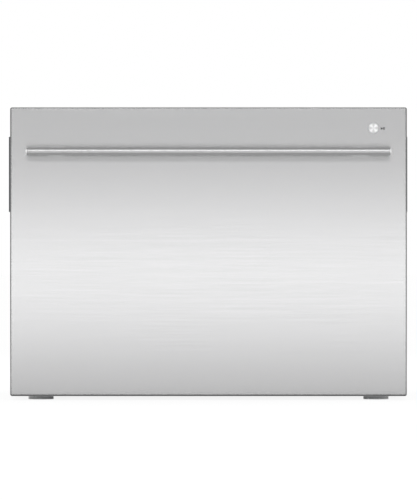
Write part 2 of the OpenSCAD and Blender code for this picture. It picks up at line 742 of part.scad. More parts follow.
// One rack tooth pointing along +Y: the first coordinate runs along Z, the second away from the pitch line
module rack_tooth() {
    half = tooth_pitch / 4 - backlash;
    tip = addendum * tan(20);
    root = dedendum * tan(20);
    polygon([[-half - root, -dedendum - eps], [half + root, -dedendum - eps],
             [half - tip, addendum], [-half + tip, addendum]]);
}
module lid_rack() {
    block([rack_x, rack_y - rack_t / 2, rack_low], [rack_x + rack_t, rack_y + rack_t / 2, z_lid + lid_t]);
    for (i = [-rack_teeth / 2 : rack_teeth / 2 - 1])
        translate([rack_x + rack_t / 2, rack_line, pinion_z + (i + 0.5) * tooth_pitch])
            rotate([0, 90, 0]) linear_extrude(rack_t, center = true) rack_tooth();
}
module lid() color([0.86, 0.87, 0.88]) {
    w = 2 * lid_half;
    d = lid_y1 - lid_y0;
    translate([0, (lid_y0 + lid_y1) / 2, 0]) {
        difference() {
            upright(z_lid, z_lid + lid_t) round_rect(w, d, lid_r);
            upright(z_lid + lid_wall, z_lid + lid_t + cut)
                round_rect(w - 2 * lid_wall, d - 2 * lid_wall, lid_r - lid_wall);
        }
        for (i = [-2 : 2]) translate([i * lid_rib_pitch, 0, 0])
            block([-lid_rib_t / 2, -d / 2 + 2, z_lid + lid_wall - eps], [lid_rib_t / 2, d / 2 - 2,
                z_lid + lid_t - 3]);
    }
    // arms that carry the racks
    for (s = [-1, 1]) on_side(s)
        block([lid_half - 1, rack_y - rack_t / 2, z_lid], [rack_x, rack_y + rack_t / 2, z_lid + lid_t]);
}
module lid_racks() color([0.9, 0.9, 0.86]) for (s = [-1, 1]) on_side(s) lid_rack();
seal_inset = 1;                                   // set-in of the seal from the lid's edge
seal_lip_h = 2;
seal_lip_inset = 1.5;                             // set-in of the seal's soft lip on each side
module lid_seal() color([0.25, 0.25, 0.26]) translate([0, (lid_y0 + lid_y1) / 2, 0]) {
    w = 2 * (lid_half - seal_inset);
    d = lid_y1 - lid_y0 - 2 * seal_inset;
    lip = seal_lip_inset;
    upright(z_seal + seal_lip_h, z_lid) ring_rect(w, d, lid_r - seal_inset, seal_w);
    upright(z_seal, z_seal + seal_lip_h + eps)
        ring_rect(w - 2 * lip, d - 2 * lip, lid_r - seal_inset - lip, seal_w - 2 * lip);
}

// Involute tooth of a pinion, on its base circle, each flank thinned by the backlash
base_r = pitch_r * cos(20);
tip_r = pitch_r + addendum;
root_r = pitch_r - dedendum;
function involute_angle(r) = r <= base_r ? 0 : let (a = acos(base_r / r)) tan(a) * 180 / PI - a;
function flank_angle(r) =
    90 / gear_teeth + involute_angle(pitch_r) - involute_angle(r) - backlash / pitch_r * 180 / PI;
flank_steps = 5;
flank = [for (i = [0 : flank_steps]) base_r + (tip_r - base_r) * i / flank_steps];
tooth_foot = [0.8 * root_r, 0.8 * root_r * sin(flank_angle(base_r))];
function on_flank(r, side) = [r * cos(flank_angle(r)), side * r * sin(flank_angle(r))];
module pinion_shape() {
    circle(root_r);
    for (t = [0 : gear_teeth - 1]) rotate(t * 360 / gear_teeth) polygon(concat(
        [[tooth_foot[0], -tooth_foot[1]]],
        [for (r = flank) on_flank(r, -1)],
        [for (i = [flank_steps : -1 : 0]) on_flank(flank[i], 1)],
        [tooth_foot]));
}
shaft_r = 2.5;
pinion_t = rack_t - 1;
module pinion() translate([rack_x + rack_t / 2, pinion_y, pinion_z]) difference() {
    rotate([90, 0, 90]) rotate(180) linear_extrude(pinion_t, center = true) pinion_shape();
    rod_x(-rack_t, rack_t, shaft_r + run_gap);
}
module pinion_left() color([0.9, 0.9, 0.86]) on_side(-1) pinion();
module pinion_right() color([0.9, 0.9, 0.86]) pinion();

// Gear motor and rack guide, both fixed to a side panel
drive_x = rack_x + rack_t + 1.5;
drive_y = [pinion_y - 8, pinion_y + 34];
drive_z = [pinion_z - 14, pinion_z + 10];
guide_y = rack_y - rack_t / 2 - seat_gap;         // face of the guide that the rack's back slides along
guide_d = 8;
link_t = [2, 6];                                  // thickness and height of the strap from motor to guide
module lid_drives() color([0.22, 0.23, 0.25]) for (s = [-1, 1]) on_side(s) {
    block([drive_x, drive_y[0], drive_z[0]], [wall_in, drive_y[1], drive_z[1]]);
    translate([0, pinion_y, pinion_z]) rod_x(rack_x - 1, drive_x + eps, shaft_r);
    block([rack_x, guide_y - guide_d, rack_low + 2], [wall_in, guide_y, z_seal - 4]);
    block([wall_in - link_t[0], guide_y - 1.7, drive_z[0]], [wall_in, pinion_y, drive_z[0] + link_t[1]]);
}

// ---------- Tub ----------

tub_mid = [0, y_mid, 0];
tub_w = 2 * tub_half;
front_ledge = 9;                                  // width of the rim along the tub's front
mouth_d = tub_d - front_ledge - tub_wall;         // depth of the tub's opening
boss_r = 6.5;                                     // radius of the opening for the motor shaft
drain_hole_r = 8;                                 // radius of the opening to the drain pump
drain_depth = 22;
z_drain = z_floor - drain_depth;
pad_end = 8;                                      // set-back of a runner pad's ends
flange_z = [z_rim - 142, z_rim - 82];             // stiffening flanges along the tub's sides
flange_t = 4;
flange_end = 30;
heater_z = z_inside + seat_gap + heater_tube_r;
heater_leads = [-12, 12];                         // angles of the heater's two leads
module tub() color([0.83, 0.84, 0.85]) difference() {
    union() {
        translate(tub_mid) upright(z_floor, z_rim - eps) round_rect(tub_w, tub_d, tub_r);
        translate([0, y_tub + (tub_d + rim_w) / 2, 0])
            upright(z_rim - rim_h, z_rim) round_rect(2 * rim_half, tub_d + rim_w, tub_r);
        translate(tub_mid) rod_z(z_sump, z_floor + eps, sump_r);
        translate(tub_mid + [0, drain_y, 0]) rod_z(z_drain, z_floor + eps, drain_r);
        for (s = [-1, 1]) on_side(s) {
            block([tub_half - tub_wall / 2, y_runner + pad_end, runner_z - track + 1],
                  [runner_in, y_tub_back - pad_end, runner_z + track - 1]);
            for (z = flange_z)
                block([tub_half - eps, y_tub + flange_end, z],
                      [tub_half + rim_w - 3, y_tub_back - flange_end, z + flange_t]);
        }
    }
    translate([0, y_mid, 0]) upright(z_inside, z_rim - rim_h)
        round_rect(tub_w - 2 * tub_wall, tub_d - 2 * tub_wall, tub_r - tub_wall);
    translate([0, y_tub + front_ledge + mouth_d / 2, 0]) upright(z_rim - rim_h - cut, z_rim + cut)
        round_rect(tub_w - 2 * tub_wall, mouth_d, tub_r - tub_wall);
    translate(tub_mid) rod_z(z_sump + tub_wall, z_inside + cut, sump_r - tub_wall);
    translate(tub_mid) rod_z(z_sump - cut, z_inside, boss_r);
    translate(tub_mid + [0, drain_y, 0]) rod_z(z_drain + tub_wall, z_inside + cut, drain_r - tub_wall);
    translate(tub_mid + [0, drain_y, 0]) rod_z(z_drain - cut, z_inside, drain_hole_r);
    for (a = heater_leads) translate(tub_mid) rotate(a) translate([heater_ring_r, 0, 0])
        rod_z(z_floor - cut, z_inside + cut, heater_tube_r + run_gap);
}

// ---------- Wash system ----------

motor_low = z_base + 6;
motor_r = sump_r - 4;
motor_shaft_r = 4;
motor_rib = 3;                                    // height of the cooling ribs on the motor
rotor_z = z_sump + tub_wall + 3;
rotor_h = 13;
rotor_disc_t = 3;
rotor_hub_r = 9;
vane_t = 2.5;
vane_h = 10;
module wash_motor() color([0.3, 0.3, 0.32]) translate(tub_mid) {
    rod_z(motor_low, z_sump, motor_r);
    rod_z(z_sump - eps, rotor_z + rotor_h + 2, motor_shaft_r);
    for (a = [0 : 45 : 315]) rotate(a)
        block([motor_r - 2, -2, motor_low + 4], [motor_r + motor_rib, 2, z_sump - 4]);
}
module pump_rotor() color([0.9, 0.9, 0.88]) translate(tub_mid) difference() {
    union() {
        rod_z(rotor_z, rotor_z + rotor_disc_t, rotor_r);
        rod_z(rotor_z, rotor_z + rotor_h, rotor_hub_r);
        for (a = [0 : 60 : 300]) rotate(a)
            block([rotor_hub_r - 2, -vane_t / 2, rotor_z], [rotor_r - 2, vane_t / 2, rotor_z + vane_h]);
    }
    rod_z(rotor_z - cut, rotor_z + rotor_h + cut, motor_shaft_r + run_gap);
}
drain_pump_h = 20;
outlet_r = 7;
outlet_l = 14;
module drain_pump() color([0.24, 0.25, 0.27]) translate(tub_mid + [0, drain_y, 0]) {
    rod_z(z_drain - drain_pump_h, z_drain, drain_r - 2);
    translate([0, 0, z_drain - drain_pump_h / 2]) rod_x(0, drain_r + outlet_l, outlet_r);
}
lead_r = heater_tube_r - 0.6;                     // radius of the heater's leads
lead_l = 12;                                      // length of a lead below the tub
module heater_ring() color([0.55, 0.55, 0.56]) translate(tub_mid) {
    translate([0, 0, heater_z]) rotate_extrude() translate([heater_ring_r, 0]) circle(heater_tube_r);
    for (a = heater_leads) rotate(a) translate([heater_ring_r, 0, 0])
        rod_z(z_floor - lead_l, heater_z, lead_r);
}
filter_z = heater_z + heater_tube_r + 1.5;
filter_t = 2.5;
mesh_r = 2.2;                                     // radius of a hole in the filter plate
mesh_pitch = 12;                                  // distance between two rings of holes
mesh_in = 34;                                     // radius of the innermost ring of holes
hub_r = 6;
hub_over = 3;                                     // height of the hub above the spray arm
spray_z = filter_z + filter_t + 3;
module filter_plate() color([0.75, 0.76, 0.77]) translate(tub_mid) {
    difference() {
        union() {
            rod_z(filter_z, filter_z + filter_t, filter_r);
            difference() {
                rod_z(z_inside, filter_z + eps, filter_r);
                rod_z(z_inside - cut, filter_z + cut, filter_r - filter_t);
            }
            rod_z(filter_z, spray_z - seat_gap, hub_r + 4);
            rod_z(filter_z, spray_z + spray_h + hub_over, hub_r);
        }
        for (ring = [mesh_in : mesh_pitch : filter_r - mesh_pitch], a = [0 : 360 / floor(ring / 3) : 359])
            rotate(a) translate([ring, 0, 0]) rod_z(filter_z - cut, filter_z + filter_t + cut, mesh_r);
        rod_z(filter_z - cut, spray_z + spray_h + hub_over + cut, hub_r - 2);
    }
}
spray_rise = 2;                                   // height of the arm's middle above the arm
jet_r = 2;
jet_deep = 2.5;
jet_side = 4;                                     // the jets lie this far off the arm's middle line, in turn
module spray_arm() color([0.55, 0.57, 0.6]) translate(tub_mid) difference() {
    union() {
        upright(spray_z, spray_z + spray_h) intersection() {
            round_rect(2 * spray_l, spray_w, spray_w / 2 - 1);
            union() {
                polygon([[-spray_l, -spray_w / 4], [0, -spray_w / 2], [spray_l, -spray_w / 4],
                         [spray_l, spray_w / 4], [0, spray_w / 2], [-spray_l, spray_w / 4]]);
                circle(spray_w / 2);
            }
        }
        rod_z(spray_z, spray_z + spray_h + spray_rise, hub_r + 5);
    }
    rod_z(spray_z - cut, spray_z + spray_h + spray_rise + cut, hub_r + run_gap);
    for (s = [-1, 1], i = [1 : 5]) translate([s * i * spray_l / 5.6, s * (i % 2 * 2 - 1) * jet_side, 0])
        rod_z(spray_z + spray_h - jet_deep, spray_z + spray_h + cut, jet_r);
}
sieve_r = drain_r - tub_wall - 0.5;               // outer radius of the drain filter's cup
sieve_wall = 2;
sieve_slot = 4;                                   // width of the slots in the cup
collar_out = drain_r + 6;                         // outer radius of the collar on the tub's floor
collar_h = 3;
grip_h = 4;                                       // height and width of the grip across the collar
grip_w = 6;
module drain_filter() color([0.35, 0.36, 0.38]) translate(tub_mid + [0, drain_y, 0]) {
    cup_low = z_drain + tub_wall + seat_gap;
    collar_top = z_inside + collar_h;
    difference() {
        rod_z(cup_low, collar_top, sieve_r);
        rod_z(cup_low + sieve_wall, collar_top + cut, sieve_r - sieve_wall);
        for (a = [0 : 30 : 150]) rotate(a)
            block([-2 * drain_r, -sieve_slot / 2, z_drain + 9], [2 * drain_r, sieve_slot / 2, z_floor - 3]);
    }
    difference() {
        rod_z(z_inside, collar_top, collar_out);
        rod_z(z_inside - cut, collar_top + cut, sieve_r - sieve_wall / 2);
    }
    block([-drain_r - 2, -grip_w / 2, collar_top - eps], [drain_r + 2, grip_w / 2, collar_top + grip_h]);
}

// ---------- Detergent dispenser on the tub's front wall ----------

y_front_wall = y_tub + tub_wall;
disp_x0 = -tub_half + 106;                        // left edge of the dispenser
disp_z0 = z_rim - 44 - dispenser_h;               // lower edge of the dispenser
disp_r = 8;                                       // radius of the dispenser's corners
disp_face = y_front_wall + dispenser_d;
flap_side = 10;                                   // distance from the dispenser's edge to its flap
flap_x = disp_x0 + flap_side + flap_w / 2;
hinge_z = disp_z0 + dispenser_h - 8;
knuckle_r = 3;
hinge_y = disp_face + knuckle_r + seat_gap;
flap_low = hinge_z - flap_h;
flap_pin_r = 1.5;
ear_x = flap_w / 2 + 2.3;                         // middle of an ear from the flap's middle
ear_half = 2;
cup_edge = 4;                                     // ledge round the detergent cup
cup_floor = 3;
rinse_x = disp_x0 + dispenser_w - rinse_r - 6;
rinse_z = disp_z0 + dispenser_h / 2;
rinse_h = 5;                                      // height of the cap over the dispenser's face
rinse_grip = [3, 4, 4];                           // set-in, width and height of the cap's grip
stub_r = rinse_r / 2;
stub_l = 11;
module dispenser_body() color([0.8, 0.81, 0.82]) difference() {
    union() {
        translate([disp_x0 + dispenser_w / 2, 0, disp_z0 + dispenser_h / 2])
            rotate([90, 0, 0]) translate([0, 0, -disp_face])
                linear_extrude(dispenser_d) round_rect(dispenser_w, dispenser_h, disp_r);
        // ears that hold the flap's pins
        for (s = [-1, 1]) translate([flap_x + s * ear_x, 0, hinge_z])
            block([-ear_half, disp_face - 1, -knuckle_r], [ear_half, hinge_y, knuckle_r]);
        for (s = [-1, 1]) translate([flap_x + s * ear_x, hinge_y, hinge_z])
            rod_x(-ear_half, ear_half, knuckle_r);
    }
    // detergent cup
    block([flap_x - flap_w / 2 + cup_edge, y_front_wall + cup_floor, flap_low + cup_edge],
          [flap_x + flap_w / 2 - cup_edge, disp_face + cut, hinge_z - 2 * knuckle_r]);
    for (s = [-1, 1]) translate([flap_x + s * ear_x, hinge_y, hinge_z])
        rod_x(-ear_half - cut, ear_half + cut, flap_pin_r + run_gap);
    translate([rinse_x, 0, rinse_z]) rod_y(disp_face - stub_l - cut, disp_face + cut, stub_r + run_gap);
}
module dispenser_flap() color([0.86, 0.87, 0.88]) translate([flap_x, 0, 0]) {
    translate([0, hinge_y, hinge_z]) rod_x(-flap_w / 2, flap_w / 2, knuckle_r - 0.2);
    translate([0, hinge_y, hinge_z]) rod_x(-ear_x - 1.7, ear_x + 1.7, flap_pin_r);
    block([-flap_w / 2, disp_face + seat_gap, flap_low], [flap_w / 2, disp_face + seat_gap + flap_t,
        hinge_z]);
}
module rinse_cap() color([0.3, 0.42, 0.55]) translate([rinse_x, 0, rinse_z]) {
    rod_y(disp_face + seat_gap, disp_face + rinse_h, rinse_r);
    rod_y(disp_face - stub_l, disp_face + seat_gap + eps, stub_r);
    block([-rinse_r + rinse_grip[0], disp_face + rinse_h - eps, -rinse_grip[1] / 2],
          [rinse_r - rinse_grip[0], disp_face + rinse_h + rinse_grip[2], rinse_grip[1] / 2]);
}

// ---------- Basket ----------

basket_z = z_inside + 37;                         // lowest point of the basket
basket_y0 = disp_face + 10;
basket_y1 = y_tub_back - tub_wall - 12.5;
step = 2 * wire_r + weld_gap;                     // between the middles of two wires that lie together
rail_x = basket_half - wire_r;                    // middle of an outer side wire
hoop_half = rail_x - wire_r - weld_gap;           // half length of a hoop's front and back wires
post_row_x = rail_x - step;
post_row_y = [basket_y0 + wire_r + step, basket_y1 - wire_r - step];
low_z = basket_z + wire_r;
rim_wire_z = z_rim - basket_drop - wire_r;
cup_z = rim_wire_z - front_drop;                  // height of the front rim and of the cup racks
mid_wire_z = (low_z + cup_z) / 2;
cross_pitch = (post_row_y[1] - post_row_y[0] - 2 * step) / (wires_x - 1);
long_pitch = 2 * (post_row_x - step) / (wires_y - 1);
cup_x = rail_x - step - wire_r - 4;               // hinge line of a cup rack
cup_clip_y = [-cup_rack_l / 2 + 20, cup_rack_l / 2 - 20];
clip_half = 4;                                    // half length of a clip
clip_wall = 2;
leg_in = 8;                                       // the legs stand this far inside the side posts
leg_foot_h = 4;
tine_z = low_z + step + wire_r + tine_r + 2.6;    // hinge line of a tine row
cutlery_y0 = basket_y1 - 2 * step - 3 - cutlery_w;
tine_y0 = basket_y0 + 18;
tine_y1 = cutlery_y0 - 14;
tine_clip_y = [tine_y0 + 30, tine_y1 - 30];
cutlery_z = low_z + step + wire_r + seat_gap;

function cross_y(i) = post_row_y[0] + step + i * cross_pitch;
function long_x(i) = -(post_row_x - step) + i * long_pitch;

module basket() color([0.62, 0.64, 0.67]) {
    // floor: cross wires below, long wires on top of them
    for (i = [0 : wires_x - 1]) translate([0, cross_y(i), low_z])
        rod_x(-post_row_x - wire_r, post_row_x + wire_r, wire_r);
    for (i = [0 : wires_y - 1]) translate([long_x(i), 0, low_z + step])
        rod_y(post_row_y[0] - wire_r, post_row_y[1] + wire_r, wire_r);
    // uprights on the sides, the back and the lower front
    for (s = [-1, 1], i = [0 : wires_x - 1])
        translate([s * post_row_x, cross_y(i), 0]) rod_z(low_z + wire_r + weld_gap, rim_wire_z, wire_r);
    for (i = [0 : wires_y - 1]) {
        translate([long_x(i), post_row_y[0], 0]) rod_z(low_z + step + wire_r + weld_gap, cup_z, wire_r);
        translate([long_x(i), post_row_y[1], 0]) rod_z(low_z + step + wire_r + weld_gap, rim_wire_z, wire_r);
    }
    // hoops round the outside
    for (z = [mid_wire_z, cup_z]) {
        for (s = [-1, 1]) translate([s * rail_x, 0, z]) rod_y(basket_y0, basket_y1, wire_r);
        for (y = [basket_y0 + wire_r, basket_y1 - wire_r]) translate([0, y, z])
            rod_x(-hoop_half, hoop_half, wire_r);
    }
    for (s = [-1, 1]) translate([s * rail_x, 0, rim_wire_z]) rod_y(basket_y0, basket_y1, wire_r);
    translate([0, basket_y1 - wire_r, rim_wire_z]) rod_x(-hoop_half, hoop_half, wire_r);
    // legs that stand on the tub's floor
    for (s = [-1, 1], y = [cross_y(0), cross_y(wires_x - 1)]) translate([s * (post_row_x - leg_in), y, 0]) {
        rod_z(z_inside + seat_gap, low_z - wire_r - weld_gap, wire_r);
        rod_z(z_inside + seat_gap, z_inside + seat_gap + leg_foot_h, 2 * wire_r);
    }
    // clips that hold the cup racks and the tine rows
    for (s = [-1, 1], y = cup_clip_y) on_side(s) difference() {
        block([cup_x - wire_r - clip_wall, y - clip_half, cup_z - wire_r - clip_wall - 1],
              [rail_x - wire_r - weld_gap, y + clip_half, cup_z + wire_r + clip_wall + 1]);
        translate([cup_x, 0, cup_z]) rod_y(y - clip_half - cut, y + clip_half + cut, wire_r + run_gap);
    }
    for (s = [-1, 1], y = tine_clip_y) on_side(s) difference() {
        block([tine_x - tine_r - clip_wall, y - clip_half, low_z + step + wire_r + weld_gap],
              [tine_x + tine_r + clip_wall, y + clip_half, tine_z + tine_r + clip_wall / 2]);
        translate([tine_x, 0, tine_z]) rod_y(y - clip_half - cut, y + clip_half + cut, tine_r + run_gap);
    }
}

tine_pitch = (tine_y1 - tine_y0 - 2 * tine_r) / (tine_count - 1);
module tine_row(s) color([0.62, 0.64, 0.67]) translate([s * tine_x, 0, tine_z]) {
    rod_y(tine_y0, tine_y1, tine_r);
    for (i = [0 : tine_count - 1]) translate([0, tine_y0 + tine_r + i * tine_pitch, 0])
        rod_z(0, tine_l, tine_r);
}
module tine_row_left() tine_row(-1);
module tine_row_right() tine_row(1);

cup_pitch = (cup_rack_l - 2 * wire_r) / (cup_wires - 1);
cup_wire_r = 0.8 * wire_r;                        // radius of a cup rack's thinner cross wires
module cup_rack() translate([cup_x, 0, cup_z]) {
    rod_y(-cup_rack_l / 2, cup_rack_l / 2, wire_r);
    translate([-cup_rack_w, 0, 0]) rod_y(-cup_rack_l / 2, cup_rack_l / 2, wire_r);
    for (i = [0 : cup_wires - 1]) translate([0, -cup_rack_l / 2 + wire_r + i * cup_pitch, 0])
        rod_x(-cup_rack_w, 0, cup_wire_r);
}
module cup_rack_left() color([0.62, 0.64, 0.67]) on_side(-1) cup_rack();
module cup_rack_right() color([0.62, 0.64, 0.67]) cup_rack();

cutlery_wall = 2;
cutlery_slot_r = 3;
module cutlery_basket() color([0.45, 0.47, 0.5]) {
    wall = cutlery_wall;
    cell = (2 * cutlery_half - wall) / cutlery_cells;
    y1 = cutlery_y0 + cutlery_w;
    difference() {
        block([-cutlery_half, cutlery_y0, cutlery_z], [cutlery_half, y1, cutlery_z + cutlery_h]);
        for (i = [0 : cutlery_cells - 1]) {
            x0 = -cutlery_half + wall + i * cell;
            block([x0, cutlery_y0 + wall, cutlery_z + wall],
                  [x0 + cell - wall, y1 - wall, cutlery_z + cutlery_h + cut]);
            for (k = [1 : 3]) translate([x0 + (cell - wall) * k / 4, 0, cutlery_z + cutlery_h * 0.42])
                rotate([90, 0, 0]) translate([0, 0, -y1 - cut]) linear_extrude(cutlery_w + 2 * cut)
                    rotate(90) slot_shape(cutlery_h / 2, cutlery_slot_r);
        }
    }
}

// ---------- Hose link: two arms that unfold behind the drawer ----------

link_x = arm_l / 2;                               // the arms' pins lie this far left and right of the middle
arm_gap = 4;                                      // gap between the two arms
front_arm_z = link_z + arm_h + arm_gap;
slot_z = front_arm_z + arm_h + 6;                 // underside of the slotted plate
slot_t = 4;
slot_play = 16;                                   // lost motion of the pin in its slot
arm_wall = 2.5;                                   // wall of an arm round its hose channel
foot_half = 30;                                   // half width of the anchor and of the slotted plate
shelf_z = link_z - 4;                             // top of the anchor's shelf
shelf_t = 4;
module arm_form(x_solid, z0) difference() {
    translate([0, y_link, 0]) upright(z0, z0 + arm_h) slot_shape(arm_l + arm_w, arm_w / 2);
    // channel for the hoses
    translate([0, y_link, 0]) upright(z0 + arm_wall, z0 + arm_h - arm_wall)
        slot_shape(arm_l - 2 * arm_w, arm_w / 2 - arm_wall);
    // slot along the arm's top that shows them
    translate([0, y_link, 0]) upright(z0 + arm_h - arm_wall - 0.5, z0 + arm_h + cut)
        slot_shape(arm_l - 2 * arm_w - 20, arm_w / 2 - 7);
    translate([x_solid, y_link, 0]) rod_z(z0 - cut, z0 + arm_h + cut, pin_r + run_gap);
}
module link_arm_rear() color([0.2, 0.21, 0.22]) {
    arm_form(-link_x, link_z);
    translate([link_x, y_link, 0]) rod_z(link_z + arm_h - eps, front_arm_z + arm_h + 1.5, pin_r);
}
module link_arm_front() color([0.2, 0.21, 0.22]) {
    arm_form(link_x, front_arm_z);
    translate([-link_x, y_link, 0]) rod_z(front_arm_z + arm_h - eps, slot_z + slot_t + 3, pin_r);
}
module link_anchor() color([0.45, 0.46, 0.48]) {
    y_wall = y_back - sheet_t;
    block([-link_x - foot_half, y_wall - 3, shelf_z - 20], [-link_x + foot_half, y_wall, shelf_z]);
    difference() {
        block([-link_x - foot_half, y_link - pin_r - 6, shelf_z - shelf_t], [-link_x + foot_half,
            y_wall, shelf_z]);
        translate([-link_x, y_link, 0]) rod_z(shelf_z - shelf_t - cut, shelf_z - shelf_t / 2, pin_r - 3);
    }
    translate([-link_x, y_link, 0]) rod_z(shelf_z - eps, link_z + arm_h + 2, pin_r);
    translate([-link_x, y_link, 0]) rod_z(shelf_z - eps, link_z - seat_gap, pin_r + 3);
}
module link_bracket() color([0.45, 0.46, 0.48]) {
    block([-link_x - foot_half, y_tub_back, slot_z - 14], [-link_x + foot_half, y_tub_back + slot_t,
        slot_z + 16]);
    difference() {
        block([-link_x - foot_half, y_tub_back, slot_z], [-link_x + foot_half, y_link + pin_r + 7,
            slot_z + slot_t]);
        translate([-link_x, y_link - slot_play / 2, 0]) upright(slot_z - cut, slot_z + slot_t + cut)
            rotate(90) slot_shape(slot_play + 2 * pin_r + 1, pin_r + 0.5);
    }
}

// ---------- Services in the recess at the back ----------

y_sheet = y_recess - sheet_t;                     // inner face of the recess's sheet
inlet_flange = 8;                                 // thickness of the inlet's and the outlet's flange
outlet_flange = 4;
neck_l = [6, 10];                                 // length of each neck inside the chassis
valve_half = 14;                                  // half width of the valve's body
valve_d = 19;
valve_up = 24;                                    // top of the valve's body above its axis
module inlet_valve() color([0.88, 0.88, 0.86]) translate([inlet_x, 0, service_z]) {
    rod_y(y_recess, y_recess + inlet_flange, inlet_r + 5);
    rod_y(y_recess + inlet_flange - eps, y_recess + inlet_flange + tail_l, inlet_r);
    rod_y(y_sheet - neck_l[0], y_recess + eps, neck_r);
    valve_y = y_sheet - neck_l[0] + 1;
    block([-valve_half, valve_y - valve_d, -valve_half], [valve_half, valve_y, valve_up]);
}
module drain_outlet() color([0.3, 0.31, 0.33]) translate([drain_x, 0, service_z]) {
    rod_y(y_recess, y_recess + outlet_flange, spigot_r + 6);
    rod_y(y_recess + outlet_flange - eps, y_recess + outlet_flange + tail_l, spigot_r);
    rod_y(y_sheet - neck_l[1], y_recess + eps, neck_r);
    rod_y(y_sheet - neck_l[1], y_sheet - neck_l[1] + 6, neck_r + 5);
}
box_half = [32, 22];                              // half width and half height of the terminal box
box_d = 30;
box_wall = 2.5;
box_back = 4;                                     // thickness of the box's rear wall, which the cable enters
module terminal_box() color([0.2, 0.2, 0.21]) translate([box_x, 0, service_z]) difference() {
    block([-box_half[0], y_recess, -box_half[1]], [box_half[0], y_recess + box_d, box_half[1]]);
    block([-box_half[0] + box_wall, y_recess - cut, -box_half[1] + box_wall],
          [box_half[0] - box_wall, y_recess + box_d - box_back, box_half[1] - box_wall]);
    rod_y(y_recess + box_d - box_back - cut, y_recess + box_d + cut, gland_r);
}

side_panel_left();
side_panel_right();
top_panel();
back_panel();
base_frame();
drip_tray();
side_brackets();
bracket_packer();
mouth_trim();
runner_outers();
lid_drives();
inlet_valve();
drain_outlet();
terminal_box();
link_anchor();
foot_front_left();
foot_front_right();
foot_rear_left();
foot_rear_right();
lid();
lid_racks();
lid_seal();
pinion_left();
pinion_right();
runner_middles();
runner_balls();
link_arm_rear();
link_arm_front();
front_panel();
inner_door();
handle_bar();
handle_caps();
handle_posts();
handle_nuts();
control_fascia();
control_board();
button_bezel();
start_button();
power_key();
programme_key();
tub();
runner_inners();
link_bracket();
filter_plate();
drain_filter();
wash_motor();
drain_pump();
heater_ring();
pump_rotor();
spray_arm();
dispenser_body();
dispenser_flap();
rinse_cap();
basket();
cutlery_basket();
tine_row_left();
tine_row_right();
cup_rack_left();
cup_rack_right();
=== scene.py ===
"""Drawer dishwasher: the finish of every piece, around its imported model.

The file is laid out as an add-on with one operator for each group of pieces. Lengths are in metres,
X points right, the front faces -Y and Z points up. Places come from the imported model's own boxes.
"""
import json
import math

import bmesh
import bpy
import numpy as np
from bpy.props import FloatProperty, FloatVectorProperty, IntProperty, PointerProperty
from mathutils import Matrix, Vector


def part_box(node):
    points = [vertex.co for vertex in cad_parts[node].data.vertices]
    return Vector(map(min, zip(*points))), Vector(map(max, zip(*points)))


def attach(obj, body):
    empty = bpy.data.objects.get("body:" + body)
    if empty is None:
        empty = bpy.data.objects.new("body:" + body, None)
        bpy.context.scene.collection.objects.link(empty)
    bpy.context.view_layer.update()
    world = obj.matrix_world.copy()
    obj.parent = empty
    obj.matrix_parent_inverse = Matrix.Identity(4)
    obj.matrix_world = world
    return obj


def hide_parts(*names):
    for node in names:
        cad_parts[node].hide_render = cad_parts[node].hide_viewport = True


bl_info = {
    "name": "Drawer dishwasher",
    "version": (1, 0, 0),
    "blender": (4, 5, 0),
    "location": "3D View > Sidebar > Dishwasher",
    "description": "Builds the finished pieces of a drawer dishwasher around its packed model",
    "category": "Object",
}

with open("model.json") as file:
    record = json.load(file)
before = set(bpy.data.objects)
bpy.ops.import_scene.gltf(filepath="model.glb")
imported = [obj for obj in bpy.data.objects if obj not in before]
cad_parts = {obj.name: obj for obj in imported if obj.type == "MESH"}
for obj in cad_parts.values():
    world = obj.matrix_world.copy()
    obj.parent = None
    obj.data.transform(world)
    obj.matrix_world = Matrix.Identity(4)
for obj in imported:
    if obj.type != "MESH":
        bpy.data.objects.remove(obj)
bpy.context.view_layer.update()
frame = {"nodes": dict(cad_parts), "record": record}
MM = 0.001
TURN = 2 * math.pi
QUARTER = 0.25  # of a turn, the anisotropic rotation that blurs across the tangent
RIGHT_LEFT = (("right", 1), ("left", -1))


def node_box(node):
    """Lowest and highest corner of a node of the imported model, as arrays."""
    low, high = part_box(node)
    return np.array(low), np.array(high)


PANEL_LOW, PANEL_HIGH = node_box("front_panel")


# ---------- Sizes and colours that a user would change ----------

